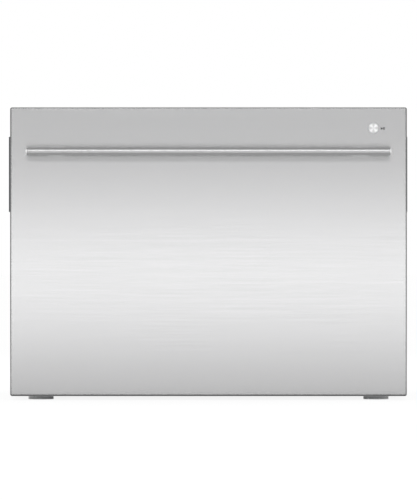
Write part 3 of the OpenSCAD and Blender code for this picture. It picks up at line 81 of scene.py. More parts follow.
class FrontSizes(bpy.types.PropertyGroup):
    fold_radius: FloatProperty(name="Fold radius", description="Radius of the fold round the panel's face",
                               default=2.5 * MM, unit="LENGTH")
    corner_radius: FloatProperty(name="Corner radius", description="Radius of the panel's four corners",
                                 default=3 * MM, unit="LENGTH")
    sheet: FloatProperty(name="Sheet", description="Thickness of the panel's steel",
                         default=1 * MM, unit="LENGTH")
    bar_crown: FloatProperty(name="Bar crown", description="Height of the rounding above the bar's front",
                             default=4.6 * MM, unit="LENGTH")
    bar_upper: FloatProperty(name="Bar upper depth", description="Depth of the rounding above its front",
                             default=3 * MM, unit="LENGTH")
    bar_facet: FloatProperty(name="Bar facet angle", description="Slope of the facet under the bar's groove",
                             default=math.radians(18), unit="ROTATION")
    groove_height: FloatProperty(name="Groove height", description="From the bar's underside to its groove",
                                 default=4.5 * MM, unit="LENGTH")
    groove: FloatProperty(name="Groove", description="Width and depth of the groove along the bar's front",
                          default=0.9 * MM, unit="LENGTH")
    bar_rear: FloatProperty(name="Bar rear radius", description="Radius of the handle bar's rear edges",
                            default=1.5 * MM, unit="LENGTH")
    button_radius: FloatProperty(name="Button radius", description="Radius of the start button",
                                 default=7 * MM, unit="LENGTH")
    button_gap: FloatProperty(name="Button gap", description="From the button to the edge of its hole",
                              default=0.75 * MM, unit="LENGTH")
    mark_gap: FloatProperty(name="Mark distance", description="From the button's axis to the mark's triangle",
                            default=11 * MM, unit="LENGTH")
    mark_drop: FloatProperty(name="Mark drop", description="From the button's axis down to the mark's middle",
                             default=0.7 * MM, unit="LENGTH")
    steel: FloatVectorProperty(name="Steel", description="Colour of the brushed steel", subtype="COLOR",
                               size=3, min=0, max=1, default=(0.29, 0.2903, 0.2918))


class StripSizes(bpy.types.PropertyGroup):
    lamps: IntProperty(name="Lamps", description="Number of lamps along the control strip", default=6)
    lamp_gap: FloatProperty(name="First lamp", description="From the programme key to the first lamp",
                            default=23 * MM, unit="LENGTH")
    lamp_step: FloatProperty(name="Lamp spacing", description="From one lamp's middle to the next",
                             default=14 * MM, unit="LENGTH")
    dots_drop: FloatProperty(name="Dots distance", description="From a lamp's middle forward to its dots",
                             default=3.4 * MM, unit="LENGTH")


class ChassisSizes(bpy.types.PropertyGroup):
    bead_reach: FloatProperty(name="Bead reach", description="From a pressed bead's middle to its end",
                              default=200 * MM, unit="LENGTH")
    lower_bead: FloatProperty(name="Lower bead", description="Height of the lower bead of each side",
                              default=130 * MM, unit="LENGTH")
    upper_bead: FloatProperty(name="Upper bead", description="Height of the upper bead of each side",
                              default=235 * MM, unit="LENGTH")
    top_bead: FloatProperty(name="Top beads", description="From the middle of the top to each of its beads",
                            default=140 * MM, unit="LENGTH")
    screw_inset: FloatProperty(name="Screw inset", description="From a sheet's edge to its screws",
                               default=14 * MM, unit="LENGTH")
    screw_step: FloatProperty(name="Screw spacing", description="From one screw of the top to the next",
                              default=190 * MM, unit="LENGTH")


class WireSizes(bpy.types.PropertyGroup):
    radius: FloatProperty(name="Wire radius", description="Radius of the basket's coated wires",
                          default=2.2 * MM, unit="LENGTH")
    tine_radius: FloatProperty(name="Tine radius", description="Radius of a tine",
                               default=1.7 * MM, unit="LENGTH")
    bend: FloatProperty(name="Bend radius", description="Reach of the bends at the basket's floor",
                        default=11 * MM, unit="LENGTH")
    corner: FloatProperty(name="Corner radius", description="Reach of the bends at the hoops' corners",
                          default=8 * MM, unit="LENGTH")
    rack_corner: FloatProperty(name="Rack corner radius", description="Reach of the bends of a cup rack",
                               default=5 * MM, unit="LENGTH")
    floor_rise: FloatProperty(name="Floor height", description="From the basket's feet up to its floor",
                              default=36.85 * MM, unit="LENGTH")
    leg_inset: FloatProperty(name="Leg inset", description="From the basket's upright wires in to its legs",
                             default=8 * MM, unit="LENGTH")
    rack_clips: FloatProperty(name="Rack clips", description="From a cup rack's middle to each of its clips",
                              default=130 * MM, unit="LENGTH")
    tine_clips: FloatProperty(name="Tine clips", description="From the end of a row of tines to its clip",
                              default=30 * MM, unit="LENGTH")
    across: IntProperty(name="Wires across", description="Number of wires bent across the basket", default=9)
    along: IntProperty(name="Wires along", description="Number of wires bent along the basket", default=9)
    tines: IntProperty(name="Tines", description="Number of tines in a folding row", default=9)
    rods: IntProperty(name="Rods", description="Number of cross wires in a cup rack, and its ends", default=9)
    coating: FloatVectorProperty(name="Coating", description="Colour of the wires' coating", subtype="COLOR",
                                 size=3, min=0, max=1, default=(0.32, 0.34, 0.37))


class HoseSizes(bpy.types.PropertyGroup):
    radius: FloatProperty(name="Hose radius", description="Radius of a hose over its ridges",
                          default=3.9 * MM, unit="LENGTH")
    offset: FloatProperty(name="Hose offset", description="From an arm's middle to each of its hoses",
                          default=4.9 * MM, unit="LENGTH")
    reach: FloatProperty(name="Hose reach", description="From a hose's middle to its end",
                         default=174 * MM, unit="LENGTH")
    pitch: FloatProperty(name="Ridge spacing", description="From one ridge of a hose to the next",
                         default=4 * MM, unit="LENGTH")


class StageSizes(bpy.types.PropertyGroup):
    distance: FloatProperty(name="Camera distance", description="From the camera to the panel's face",
                            default=8, unit="LENGTH")
    view_height: FloatProperty(name="View height", description="Height that the picture shows at the panel",
                               default=0.7508, unit="LENGTH")
    aim_height: FloatProperty(name="Aim height", description="Height of the picture's middle above the floor",
                              default=0.2256, unit="LENGTH")
    ambient: FloatProperty(name="Ambient", description="Strength of the plain light from all round",
                           default=0.62)


SIZES = {"dishwasher_front": FrontSizes, "dishwasher_strip": StripSizes, "dishwasher_chassis": ChassisSizes,
         "dishwasher_wires": WireSizes, "dishwasher_hoses": HoseSizes, "dishwasher_stage": StageSizes}


# ---------- Surfaces from arrays ----------

def grid_faces(rows, columns, close_rows):
    """Quads of a grid of points numbered row by row. The last column joins the first, and the last row joins
    the first where rows are closed."""
    row = np.arange(rows if close_rows else rows - 1)[:, None] * columns
    column = np.arange(columns)[None, :]
    below, beside = (row + columns) % (rows * columns), (column + 1) % columns
    corners = (row + column, row + beside, below + beside, below + column)
    return np.stack(corners, axis=-1).reshape(-1, 4)


def finished_piece(name, mesh, body, slot, replaces=(), crease=35.0, look=None):
    """Piece of a mesh, shaded smooth up to the crease angle and fastened to its body. Its finish is the slot's
    own, or the one that look names."""
    mesh.shade_smooth()
    mesh.set_sharp_from_angle(angle=math.radians(crease))
    mesh.materials.append(FINISH[look or slot])
    piece = bpy.data.objects.new(name, mesh)
    bpy.context.scene.collection.objects.link(piece)
    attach(piece, body)
    if replaces:
        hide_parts(*replaces)
    return piece


class Shape:
    """Points and faces gathered from several surfaces, made into one piece at the end."""

    def __init__(self):
        self.points, self.faces, self.count = [], [], 0

    def grid(self, points, close_rows=False, capped=False, flip=False):
        """Adds a surface given as an array of rows by columns by 3, with flat ends if capped."""
        rows, columns = points.shape[:2]
        faces = grid_faces(rows, columns, close_rows)
        faces = [tuple(f) for f in ((faces[:, ::-1] if flip else faces) + self.count).tolist()]
        if capped:
            first, last = list(range(columns)), list(range((rows - 1) * columns, rows * columns))
            ends = (first, last[::-1]) if flip else (first[::-1], last)
            faces += [tuple(self.count + i for i in end) for end in ends]
        self.points.append(points.reshape(-1, 3))
        self.faces += faces
        self.count += rows * columns
        return self

    def piece(self, name, *fastening, **shading):
        """Makes the mesh and its piece, whose other values are those of finished_piece."""
        mesh = bpy.data.meshes.new(name)
        mesh.from_pydata(np.concatenate(self.points).tolist(), [], self.faces)
        mesh.validate()
        return finished_piece(name, mesh, *fastening, **shading)


def arc(centre, radius, start, end, steps):
    """Points of a circular arc in a plane, from one angle in degrees to another."""
    angle = np.radians(np.linspace(start, end, steps + 1))
    return np.stack([centre[0] + radius * np.cos(angle), centre[1] + radius * np.sin(angle)], axis=-1)


def rounded_outline(half_w, half_h, radius, steps):
    """Closed outline of a rounded rectangle: a quarter circle at each corner, counted anticlockwise."""
    x, y = half_w - radius, half_h - radius
    corners = ((x, y, 0), (-x, y, 90), (-x, -y, 180), (x, -y, 270))
    return np.concatenate([arc((x, y), radius, start, start + 90, steps) for x, y, start in corners])


def turned(centre, axis, profile, sides):
    """Points of a profile of (radius, height) pairs turned about an axis: each goes round at its radius."""
    angle = np.linspace(0, TURN, sides, endpoint=False)
    radius, height = np.asarray(profile, dtype=float).T[..., None]
    parts = np.broadcast_arrays(radius * np.cos(angle), radius * np.sin(angle), height)
    order = {"x": (2, 0, 1), "y": (1, 2, 0), "z": (0, 1, 2)}[axis]
    return np.stack([parts[i] for i in order], axis=-1) + np.asarray(centre)


def lathe(shape, centre, axis, profile, sides, flip=False):
    """Solid of a turned profile, with flat ends."""
    return shape.grid(turned(centre, axis, profile, sides), capped=True, flip=flip)


def fillet_path(corners, radius, closed=False):
    """Path through the corners with each bend rounded: a quadratic curve between the two tangent points."""
    corners = np.asarray(corners, dtype=float)
    count, most = len(corners), 0.45
    t = np.linspace(0, 1, 6)[:, None]
    path = [] if closed else [corners[:1]]
    for i in range(0 if closed else 1, count if closed else count - 1):
        here = corners[i]
        to_before, to_after = corners[i - 1] - here, corners[(i + 1) % count] - here
        before, after = np.linalg.norm(to_before), np.linalg.norm(to_after)
        reach = min(radius, most * before, most * after)
        start, end = here + to_before / before * reach, here + to_after / after * reach
        path.append((1 - t) ** 2 * start + 2 * t * (1 - t) * here + t ** 2 * end)
    if not closed:
        path.append(corners[-1:])
    return np.concatenate(path)


def unit(vectors):
    """Each row of an array scaled to length 1."""
    return vectors / np.maximum(np.linalg.norm(vectors, axis=1), 1e-12)[:, None]


def tube(shape, path, radius, normal, closed=False, sides=10):
    """Round wire along a flat path: a circle square to the path at each point, and a dome at open ends."""
    path, normal = np.array(path, dtype=float), np.asarray(normal, dtype=float)
    ahead = np.roll(path, -1, axis=0) - path
    behind = path - np.roll(path, 1, axis=0)
    tangent = unit(unit(ahead) + unit(behind))
    size = np.full(len(path), radius)
    if not closed:
        tangent[0], tangent[-1] = unit(ahead[:1])[0], unit(behind[-1:])[0]
        first, last = tangent[:1] * radius, tangent[-1:] * radius
        angle = np.radians([15, 40, 62, 82])
        out = np.sin(angle)[:, None]
        path[0] += first[0]
        path[-1] -= last[0]
        path = np.concatenate([path[:1] - first * out[::-1], path, path[-1:] + last * out])
        tangent = np.concatenate([np.repeat(tangent[:1], 4, 0), tangent, np.repeat(tangent[-1:], 4, 0)])
        size = np.concatenate([radius * np.cos(angle[::-1]), size, radius * np.cos(angle)])
    side = np.cross(tangent, normal)
    angle = np.linspace(0, TURN, sides, endpoint=False)[:, None]
    ring = np.cos(angle) * side[:, None, :] + np.sin(angle) * normal
    points = path[:, None, :] + size[:, None, None] * ring
    shape.grid(points, close_rows=closed, capped=not closed, flip=True)


def soft_block(shape, low, high, radius):
    """Block with rounded edges: a sphere of that radius, whose eighths are moved out to a core's corners."""
    low, high = np.asarray(low, dtype=float), np.asarray(high, dtype=float)
    centre, core, count = (low + high) / 2, (high - low) / 2 - radius, 4
    around = np.concatenate([np.linspace(90 * i, 90 * i + 90, count) for i in range(4)])
    upward = np.concatenate([np.linspace(-90, 0, count), np.linspace(0, 90, count)])
    around, upward = np.meshgrid(np.radians(around), np.radians(upward))
    sign_x = np.repeat([1, -1, -1, 1], count)
    sign_y = np.repeat([1, 1, -1, -1], count)
    sign_z = np.repeat([-1, 1], count)[:, None]
    points = np.stack([radius * np.cos(upward) * np.cos(around) + core[0] * sign_x,
                       radius * np.cos(upward) * np.sin(around) + core[1] * sign_y,
                       radius * np.sin(upward) + core[2] * sign_z], axis=-1)
    shape.grid(points + centre, capped=True)


def ring(shape, centre, inner, outer, half):
    """Ring round the Y axis, with its rim bevelled: a closed section of (radius, height) pairs, turned."""
    bevel = 0.3 * MM
    section = [(inner, -half), (outer - bevel, -half), (outer, bevel - half), (outer, half - bevel),
               (outer - bevel, half), (inner, half)]
    shape.grid(turned(centre, "y", section, 28), close_rows=True)


def screw_head(shape, place, ahead, side, rise):
    """Pan head with a cross recess. Its height over the seat is a flat dome, less the cross where either
    direction across it is narrow, both faded out towards the rim."""
    ahead, side = np.asarray(ahead, dtype=float), np.asarray(side, dtype=float)
    third = np.cross(ahead, side)
    radius, depth, arm, arm_end, sunk = 3.6 * MM, 0.7 * rise, 0.16, 0.62, 0.1 * MM
    share = np.array([0.02, 0.1, 0.2, 0.3, 0.38, 0.46, 0.54, 0.6, 0.68, 0.8, 0.9, 0.97, 1.0])[:, None]
    angle = np.linspace(0, TURN, 40, endpoint=False)
    across, along = share * np.cos(angle), share * np.sin(angle)
    narrow = np.minimum(np.abs(across), np.abs(along))
    recess = depth * np.clip(1 - narrow / arm, 0, 1) * np.clip((arm_end - share) / arm, 0, 1)
    height = rise * np.sqrt(np.clip(1 - share ** 4, 0.0, 1)) - recess
    rows = across[..., None] * side * radius + along[..., None] * third * radius + height[..., None] * ahead
    foot = rows[-1:] - sunk * ahead
    shape.grid(np.concatenate([rows, foot]) + np.asarray(place, dtype=float), capped=True)


def bead(shape, centre, along, across, half_l, half_w, rise):
    """Pressed bead: stadium outlines set in step by step, whose height follows a cosine up to the crest."""
    along, across = np.asarray(along, dtype=float), np.asarray(across, dtype=float)
    slope, sunk, rows = 0.72 * half_w, 0.03 * MM, []
    for t in np.linspace(0, 1, 7):
        inset = slope * t
        outline = rounded_outline(half_l - inset, half_w - inset, (half_w - inset) * 0.999, 10)
        level = rise * (0.5 - 0.5 * math.cos(math.pi * t)) - sunk
        rows.append(outline[:, :1] * along + outline[:, 1:] * across + np.cross(along, across) * level)
    shape.grid(np.stack(rows) + np.asarray(centre), capped=True)


def eased(node, body, slot, width):
    """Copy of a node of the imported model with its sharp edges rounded, as a piece in the node's place."""
    same_point, same_plane, sharp = 2e-6, math.radians(0.8), 38
    source = frame["nodes"][node]
    work = bmesh.new()
    work.from_mesh(source.data)
    work.transform(source.matrix_world)
    bmesh.ops.remove_doubles(work, verts=work.verts, dist=same_point)
    bmesh.ops.dissolve_limit(work, angle_limit=same_plane, verts=work.verts, edges=work.edges)
    mesh = bpy.data.meshes.new(node + "_eased")
    work.to_mesh(mesh)
    work.free()
    piece = finished_piece(node + "_eased", mesh, body, slot, [node], sharp)
    soft = piece.modifiers.new("ease", "BEVEL")
    soft.width, soft.segments, soft.limit_method = width, 2, "ANGLE"
    soft.angle_limit = math.radians(sharp)
    soft.use_clamp_overlap = False
    soft.harden_normals = True


# ---------- Shader node groups ----------

def feed(tree, target, value):
    """Sets an input socket to a value, or joins it to the output of another node."""
    if isinstance(value, bpy.types.NodeSocket):
        tree.links.new(value, target)
    else:
        target.default_value = value


def add(tree, kind, values=(), **settings):
    """Adds a node, sets its options and feeds its input sockets."""
    made = tree.nodes.new(kind)
    for key, value in settings.items():
        setattr(made, key, value)
    for key, value in dict(values).items():
        feed(tree, made.inputs[key], value)
    return made


def maths(tree, operation, *values):
    """Result of a maths node on its values."""
    return add(tree, "ShaderNodeMath", enumerate(values), operation=operation).outputs[0]


def on_object(tree):
    """The object's own coordinates."""
    return add(tree, "ShaderNodeTexCoord").outputs["Object"]


def noise(tree, place, scale, detail, roughness=0.5, output="Fac"):
    """Noise in a place's coordinates."""
    return add(tree, "ShaderNodeTexNoise", {"Vector": place, "Scale": scale, "Detail": detail,
                                            "Roughness": roughness}).outputs[output]


def stretched_noise(tree, scale, detail):
    """Noise on the object's own coordinates, stretched by a scale for each axis."""
    mapping = add(tree, "ShaderNodeMapping", {"Vector": on_object(tree), "Scale": scale})
    stretched = mapping.outputs["Vector"]
    return noise(tree, stretched, 1.0, detail, 0.6)


def effect_group(name, given, default, outputs):
    """Empty node group with one named float input and named float outputs."""
    tree = bpy.data.node_groups.new(name, "ShaderNodeTree")
    tree.interface.new_socket(given, in_out="INPUT", socket_type="NodeSocketFloat").default_value = default
    for label in outputs:
        tree.interface.new_socket(label, in_out="OUTPUT", socket_type="NodeSocketFloat")
    return tree, tree.nodes.new("NodeGroupInput").outputs[given], tree.nodes.new("NodeGroupOutput").inputs


def brushing_group():
    """Fine lines along X with slower bands through them. Strokes is near 0.5 and swings by Strength."""
    tree, strength, result = effect_group("brushing", "Strength", 1.0, ["Strokes"])
    fine = stretched_noise(tree, (9, 2600, 2600), 2.0)
    broad = stretched_noise(tree, (1.6, 260, 260), 3.0)
    broad_share, middle = 0.35, 0.675
    both = maths(tree, "MULTIPLY_ADD", broad, broad_share, fine)
    centred = maths(tree, "SUBTRACT", both, middle)
    feed(tree, result["Strokes"], maths(tree, "MULTIPLY_ADD", centred, strength, 0.5))


def grain_group():
    """Moulded grain: fine pits and a slow swell. Size is in grains to the millimetre."""
    tree, size, result = effect_group("moulded grain", "Size", 1.0, ["Grain", "Swell"])
    place = on_object(tree)
    scale = maths(tree, "MULTIPLY", size, 1000.0)
    feed(tree, result["Grain"], noise(tree, place, scale, 2.0))
    feed(tree, result["Swell"], noise(tree, place, 14.0, 3.0))


def spangle_group():
    """Zinc spangle: crystals of some millimetres, each with its own shade, and faint mill lines."""
    tree, crystal, result = effect_group("zinc spangle", "Crystal", 9.0, ["Shade", "Lines"])
    place = on_object(tree)
    warp = noise(tree, place, 90.0, 2.0, output="Color")
    bent = add(tree, "ShaderNodeMixRGB", {"Fac": 0.012, "Color1": place, "Color2": warp}, blend_type="ADD")
    cells = add(tree, "ShaderNodeTexVoronoi", {"Vector": bent.outputs["Color"], "Randomness": 1.0,
                                               "Scale": maths(tree, "DIVIDE", 1000.0, crystal)})
    shade = add(tree, "ShaderNodeSeparateColor", {"Color": cells.outputs["Color"]})
    feed(tree, result["Shade"], shade.outputs["Red"])
    feed(tree, result["Lines"], stretched_noise(tree, (500, 4, 12), 2.0))


def dust_group():
    """Dust that lies on faces that look up, in soft patches. Film is 0 where the surface is clean."""
    tree, amount, result = effect_group("settled dust", "Amount", 0.3, ["Film"])
    facing = add(tree, "ShaderNodeNewGeometry").outputs["Normal"]
    height = add(tree, "ShaderNodeSeparateXYZ", {"Vector": facing}).outputs["Z"]
    patches = noise(tree, on_object(tree), 22.0, 6.0, 0.65)
    lying = maths(tree, "MULTIPLY", spread(tree, height, 0.0, 1.0, start=0.2), patches)
    feed(tree, result["Film"], maths(tree, "MULTIPLY", lying, amount))


GROUPS = {"brushing": brushing_group, "moulded grain": grain_group, "zinc spangle": spangle_group,
          "settled dust": dust_group}


def effect(tree, name, **values):
    """Outputs of a shared effect placed in a material. Its group is built the first time it is asked for."""
    if name not in bpy.data.node_groups:
        GROUPS[name]()
    return add(tree, "ShaderNodeGroup", values, node_tree=bpy.data.node_groups[name]).outputs


# ---------- Finishes ----------

def new_finish(name):
    """New material, its node tree and its shader."""
    material = bpy.data.materials.new(name)
    material.use_nodes = True
    return material, material.node_tree, material.node_tree.nodes["Principled BSDF"]


def dress(tree, shader, **sockets):
    """Feeds the shader's sockets, whose names have underscores here in place of spaces."""
    for key, value in sockets.items():
        feed(tree, shader.inputs[key.replace("_", " ")], value)


def tinted(colour, factor):
    """A colour made darker or paler by a factor."""
    return tuple(min(1.0, c * factor) for c in colour)


def mixed(tree, share, first, second):
    """Colour between two colours, by a share from 0 to 1."""
    return add(tree, "ShaderNodeMix", {0: share, 6: first, 7: second}, data_type="RGBA").outputs[2]


def shades(tree, mask, colour, low, high):
    """A colour darkened or lightened between two factors by a mask."""
    return mixed(tree, mask, (*tinted(colour, low), 1), (*tinted(colour, high), 1))


def spread(tree, mask, low, high, start=0.0):
    """A value between two limits by a mask that runs from start to 1."""
    return add(tree, "ShaderNodeMapRange", {"Value": mask, "From Min": start, "To Min": low,
                                            "To Max": high}).outputs["Result"]


def raised(tree, mask, distance):
    """Normal of a surface that a mask raises."""
    bump = add(tree, "ShaderNodeBump", {"Height": mask, "Strength": 1.0, "Distance": distance})
    return bump.outputs["Normal"]


def brushed_metal(name, colour, roughness, stroke=0.06, anisotropic=0.7, strength=1.0):
    """Steel brushed along X: fine strokes change its shade and its roughness, and it blurs across them."""
    material, tree, shader = new_finish(name)
    strokes = effect(tree, "brushing", Strength=strength)["Strokes"]
    tangent = add(tree, "ShaderNodeTangent", direction_type="RADIAL", axis="Z").outputs["Tangent"]
    dress(tree, shader, Metallic=1.0, Anisotropic=anisotropic, Anisotropic_Rotation=QUARTER, Tangent=tangent,
          Base_Color=shades(tree, strokes, colour, 1 - stroke, 1 + stroke),
          Roughness=spread(tree, strokes, roughness * 1.15, roughness * 0.85))
    return material


def moulded_plastic(name, colour, roughness=0.45, grain=1.6, depth=0.03 * MM, coat=0.0, dust=0.25):
    """Moulded plastic: eroded grain, a slow change of shade and a little dust on the faces that look up."""
    material, tree, shader = new_finish(name)
    texture = effect(tree, "moulded grain", Size=grain)
    film = effect(tree, "settled dust", Amount=dust)["Film"]
    clean = shades(tree, texture["Swell"], colour, 0.93, 1.07)
    dress(tree, shader, Coat_Weight=coat, Coat_Roughness=0.15,
          Base_Color=mixed(tree, film, clean, (0.55, 0.54, 0.52, 1)),
          Roughness=spread(tree, texture["Grain"], roughness * 0.85, roughness * 1.2),
          Normal=raised(tree, texture["Grain"], depth))
    return material


def galvanised(name, colour, roughness=0.42, crystal=6.0, swing=0.06):
    """Zinc coated sheet: crystals of differing shade and gloss, faint mill lines and dust on top."""
    material, tree, shader = new_finish(name)
    zinc = effect(tree, "zinc spangle", Crystal=crystal)
    film = effect(tree, "settled dust", Amount=0.3)["Film"]
    sheet = shades(tree, zinc["Shade"], colour, 1 - swing, 1 + swing)
    dress(tree, shader, Metallic=1.0, Base_Color=mixed(tree, film, sheet, (0.5, 0.49, 0.47, 1)),
          Roughness=spread(tree, zinc["Shade"], roughness * 1.2, roughness * 0.8),
          Normal=raised(tree, zinc["Lines"], 0.02 * MM))
    return material


def plated(name, colour, roughness=0.3, mottle=0.1):
    """Zinc or nickel plate: bright, with a slow mottle in shade and gloss."""
    material, tree, shader = new_finish(name)
    texture = effect(tree, "moulded grain", Size=0.35)
    dress(tree, shader, Metallic=1.0,
          Base_Color=shades(tree, texture["Grain"], colour, 1 - mottle, 1 + mottle),
          Roughness=spread(tree, texture["Swell"], roughness * 0.7, roughness * 1.4))
    return material


def rubber(name, colour, roughness=0.7):
    """Soft trim: matt, with a fine bloom that lightens it in patches."""
    material, tree, shader = new_finish(name)
    texture = effect(tree, "moulded grain", Size=2.5)
    dress(tree, shader, Specular_IOR_Level=0.35, Base_Color=shades(tree, texture["Swell"], colour, 0.8, 1.5),
          Roughness=spread(tree, texture["Grain"], roughness * 0.85, roughness * 1.15),
          Normal=raised(tree, texture["Grain"], 0.02 * MM))
    return material


def coated_wire(name, colour):
    """Nylon coat: smooth and slightly glossy, with orange peel and a little change of shade."""
    material, tree, shader = new_finish(name)
    texture = effect(tree, "moulded grain", Size=0.6)
    dress(tree, shader, Coat_Weight=0.25, Coat_Roughness=0.2,
          Base_Color=shades(tree, texture["Swell"], colour, 0.92, 1.08),
          Roughness=spread(tree, texture["Grain"], 0.28, 0.4),
          Normal=raised(tree, texture["Grain"], 0.05 * MM))
    return material


def spun_metal_with_painted_highlight(name, colour, roughness):
    """Turned face: fine rings round its middle, and a painted highlight of four paler fans in an X, which
    follow the cosine of four times the angle."""
    material, tree, shader = new_finish(name)
    place = add(tree, "ShaderNodeUVMap", uv_map="turned").outputs["UV"]
    mapping = add(tree, "ShaderNodeMapping", {"Vector": place, "Scale": (2.0, 60.0, 1.0)})
    rings = noise(tree, mapping.outputs["Vector"], 1.0, 2.0)
    around = add(tree, "ShaderNodeSeparateXYZ", {"Vector": place}).outputs["X"]
    wave = maths(tree, "COSINE", maths(tree, "MULTIPLY", around, 4 * TURN))
    # Painted highlight: four pale fans in an X, mixed into the base colour where the spun face's reflections
    # would fall.
    painted_highlight_fans, pale = spread(tree, wave, 0.42, 0.0, start=-1.0), (0.97, 0.97, 0.97, 1)
    dress(tree, shader, Metallic=1.0, Anisotropic=0.9, Anisotropic_Rotation=QUARTER,
          Base_Color=mixed(tree, painted_highlight_fans, shades(tree, rings, colour, 0.9, 1.1), pale),
          Roughness=spread(tree, rings, roughness * 1.3, roughness * 0.8),
          Tangent=add(tree, "ShaderNodeTangent", direction_type="UV_MAP", uv_map="turned").outputs["Tangent"])
    return material


def printed_ink(name, colour):
    """Screen print: matt ink, a little uneven."""
    material, tree, shader = new_finish(name)
    grain = effect(tree, "moulded grain", Size=3.0)["Grain"]
    dress(tree, shader, Specular_IOR_Level=0.15, Base_Color=shades(tree, grain, colour, 0.85, 1.15),
          Roughness=spread(tree, grain, 0.45, 0.6))
    return material


def indicator_lens(name, colour):
    """Clear tinted lens over a small lamp that is off."""
    material, tree, shader = new_finish(name)
    grain = effect(tree, "moulded grain", Size=0.8)["Grain"]
    dress(tree, shader, Coat_Weight=1.0, Coat_Roughness=0.03, Roughness=0.15,
          Base_Color=shades(tree, grain, colour, 0.9, 1.1))
    return material


def circuit_board(name):
    """Green lacquer with darker copper tracks under it."""
    material, tree, shader = new_finish(name)
    tracks = stretched_noise(tree, (300, 60, 90), 0.0)
    dress(tree, shader, Roughness=0.3, Coat_Weight=0.5,
          Base_Color=mixed(tree, tracks, (0.01, 0.07, 0.03, 1), (0.03, 0.24, 0.1, 1)))
    return material


# Colour and roughness of each moulded plastic, under the name of its material slot.
PLASTICS = {
    "tray_plastic": ((0.045, 0.048, 0.052), 0.5), "lid_plastic": ((0.62, 0.64, 0.66), 0.42),
    "tub_plastic": ((0.58, 0.6, 0.62), 0.35), "flap_plastic": ((0.66, 0.68, 0.7), 0.28),
    "cap_plastic": ((0.05, 0.13, 0.25), 0.4), "gear_plastic": ((0.72, 0.71, 0.64), 0.4),
    "drive_plastic": ((0.02, 0.021, 0.023), 0.45), "valve_plastic": ((0.66, 0.66, 0.62), 0.4),
    "outlet_plastic": ((0.04, 0.042, 0.046), 0.45), "foot_plastic": ((0.72, 0.72, 0.71), 0.5),
    "arm_plastic": ((0.022, 0.023, 0.025), 0.45), "door_plastic": ((0.07, 0.073, 0.08), 0.5),
    "key_plastic": ((0.3, 0.305, 0.315), 0.35), "filter_plastic": ((0.09, 0.095, 0.1), 0.45),
    "pump_plastic": ((0.03, 0.032, 0.035), 0.45), "rotor_plastic": ((0.7, 0.7, 0.66), 0.35),
    "spray_plastic": ((0.2, 0.215, 0.24), 0.38), "cutlery_plastic": ((0.13, 0.14, 0.155), 0.42),
}

# Colour, roughness and mottle of each plated or bare metal, under the name of its material slot.
METALS = {
    "cap_metal": ((0.66, 0.66, 0.665), 0.3, 0.05), "bezel_metal": ((0.36, 0.36, 0.37), 0.35, 0.08),
    "plated_steel": ((0.5, 0.5, 0.46), 0.32, 0.14), "runner_steel": ((0.56, 0.57, 0.6), 0.28, 0.1),
    "ball_steel": ((0.7, 0.7, 0.72), 0.08, 0.04), "heater_metal": ((0.3, 0.29, 0.28), 0.3, 0.2),
    "motor_metal": ((0.06, 0.06, 0.065), 0.45, 0.15), "bracket_steel": ((0.07, 0.073, 0.078), 0.42, 0.12),
}


def finishes(front, wires):
    """Every finish of the object under the name of its material slot."""
    steel = tuple(front.steel)
    made = {slot: moulded_plastic(slot, *values) for slot, values in PLASTICS.items()}
    made.update({slot: plated(slot, *values) for slot, values in METALS.items()})
    others = {
        "fascia_plastic": (moulded_plastic, (0.008, 0.008, 0.009), 0.16, 0.8, 0.004 * MM, 0.6, 0.08),
        "panel_steel": (brushed_metal, steel, 0.212),
        "filter_metal": (brushed_metal, (0.55, 0.555, 0.56), 0.3, 0.06, 0.2),
        "handle_steel": (brushed_metal, tinted(steel, 1.15), 0.2, 0.02, 0.5, 0.4),
        "button_metal": (spun_metal_with_painted_highlight, (0.47, 0.47, 0.472), 0.42),
        "frame_steel": (galvanised, (0.34, 0.35, 0.37), 0.5, 9.0),
        "chassis_steel": (galvanised, (0.48, 0.49, 0.505)),
        "trim_rubber": (rubber, (0.016, 0.016, 0.018)), "seal_rubber": (rubber, (0.03, 0.031, 0.033)),
        "rack_coating": (coated_wire, tuple(wires.coating)), "board": (circuit_board,),
        "mark_ink": (printed_ink, (0.006, 0.006, 0.006)), "pale_ink": (printed_ink, (0.62, 0.63, 0.64)),
        "indicator": (indicator_lens, (0.25, 0.27, 0.28)),
    }
    made.update({slot: kind(slot, *values) for slot, (kind, *values) in others.items()})
    return made


FINISH = {}
BODY_OF = {node: body for body, nodes in frame["record"]["behaviour"]["bodies"].items() for node in nodes}

# Nodes that get a copy with rounded edges, under the rounding's width in millimetres.
EASED_BY = {
    0.1: ["bracket_packer"],
    0.25: ["power_key", "programme_key", "drain_filter", "filter_plate"],
    0.3: ["control_fascia", "dispenser_flap", "side_brackets", "base_frame", "drip_tray", "inlet_valve",
          "drain_outlet", "handle_posts", "lid_drives"],
    0.4: ["dispenser_body", "rinse_cap", "cutlery_basket", "spray_arm", "link_arm_rear", "link_arm_front",
          "terminal_box"],
    0.5: ["inner_door"],
    0.6: ["tub", "lid"],
}
EASED = {node: width for width, nodes in EASED_BY.items() for node in nodes}


# ---------- Front ----------

def panel_section(front, depth):
    """Section of the panel's edge as (inset, level) pairs: round the outer fold, back along the folded side,
    over its rim and forward again inside the sheet."""
    fold, sheet, flat = front.fold_radius, front.sheet, 0.1 * MM
    quarter, edge = np.radians(np.linspace(0, 90, 7)), 0.25 * front.sheet
    outer = np.stack([fold - fold * np.sin(quarter), fold - fold * np.cos(quarter)], axis=-1)
    inner = np.stack([sheet + (fold - sheet) * (1 - np.sin(quarter[::-1])),
                      fold - (fold - sheet) * np.cos(quarter[::-1])], axis=-1)
    rim = [(0, fold + flat), (0, depth - edge - flat), (0, depth - edge), (edge, depth),
           (sheet - edge, depth), (sheet, depth - edge), (sheet, depth - edge - flat), (sheet, fold + flat)]
    return np.concatenate([[(fold + flat, 0)], outer, rim, inner, [(fold + flat, sheet)]])


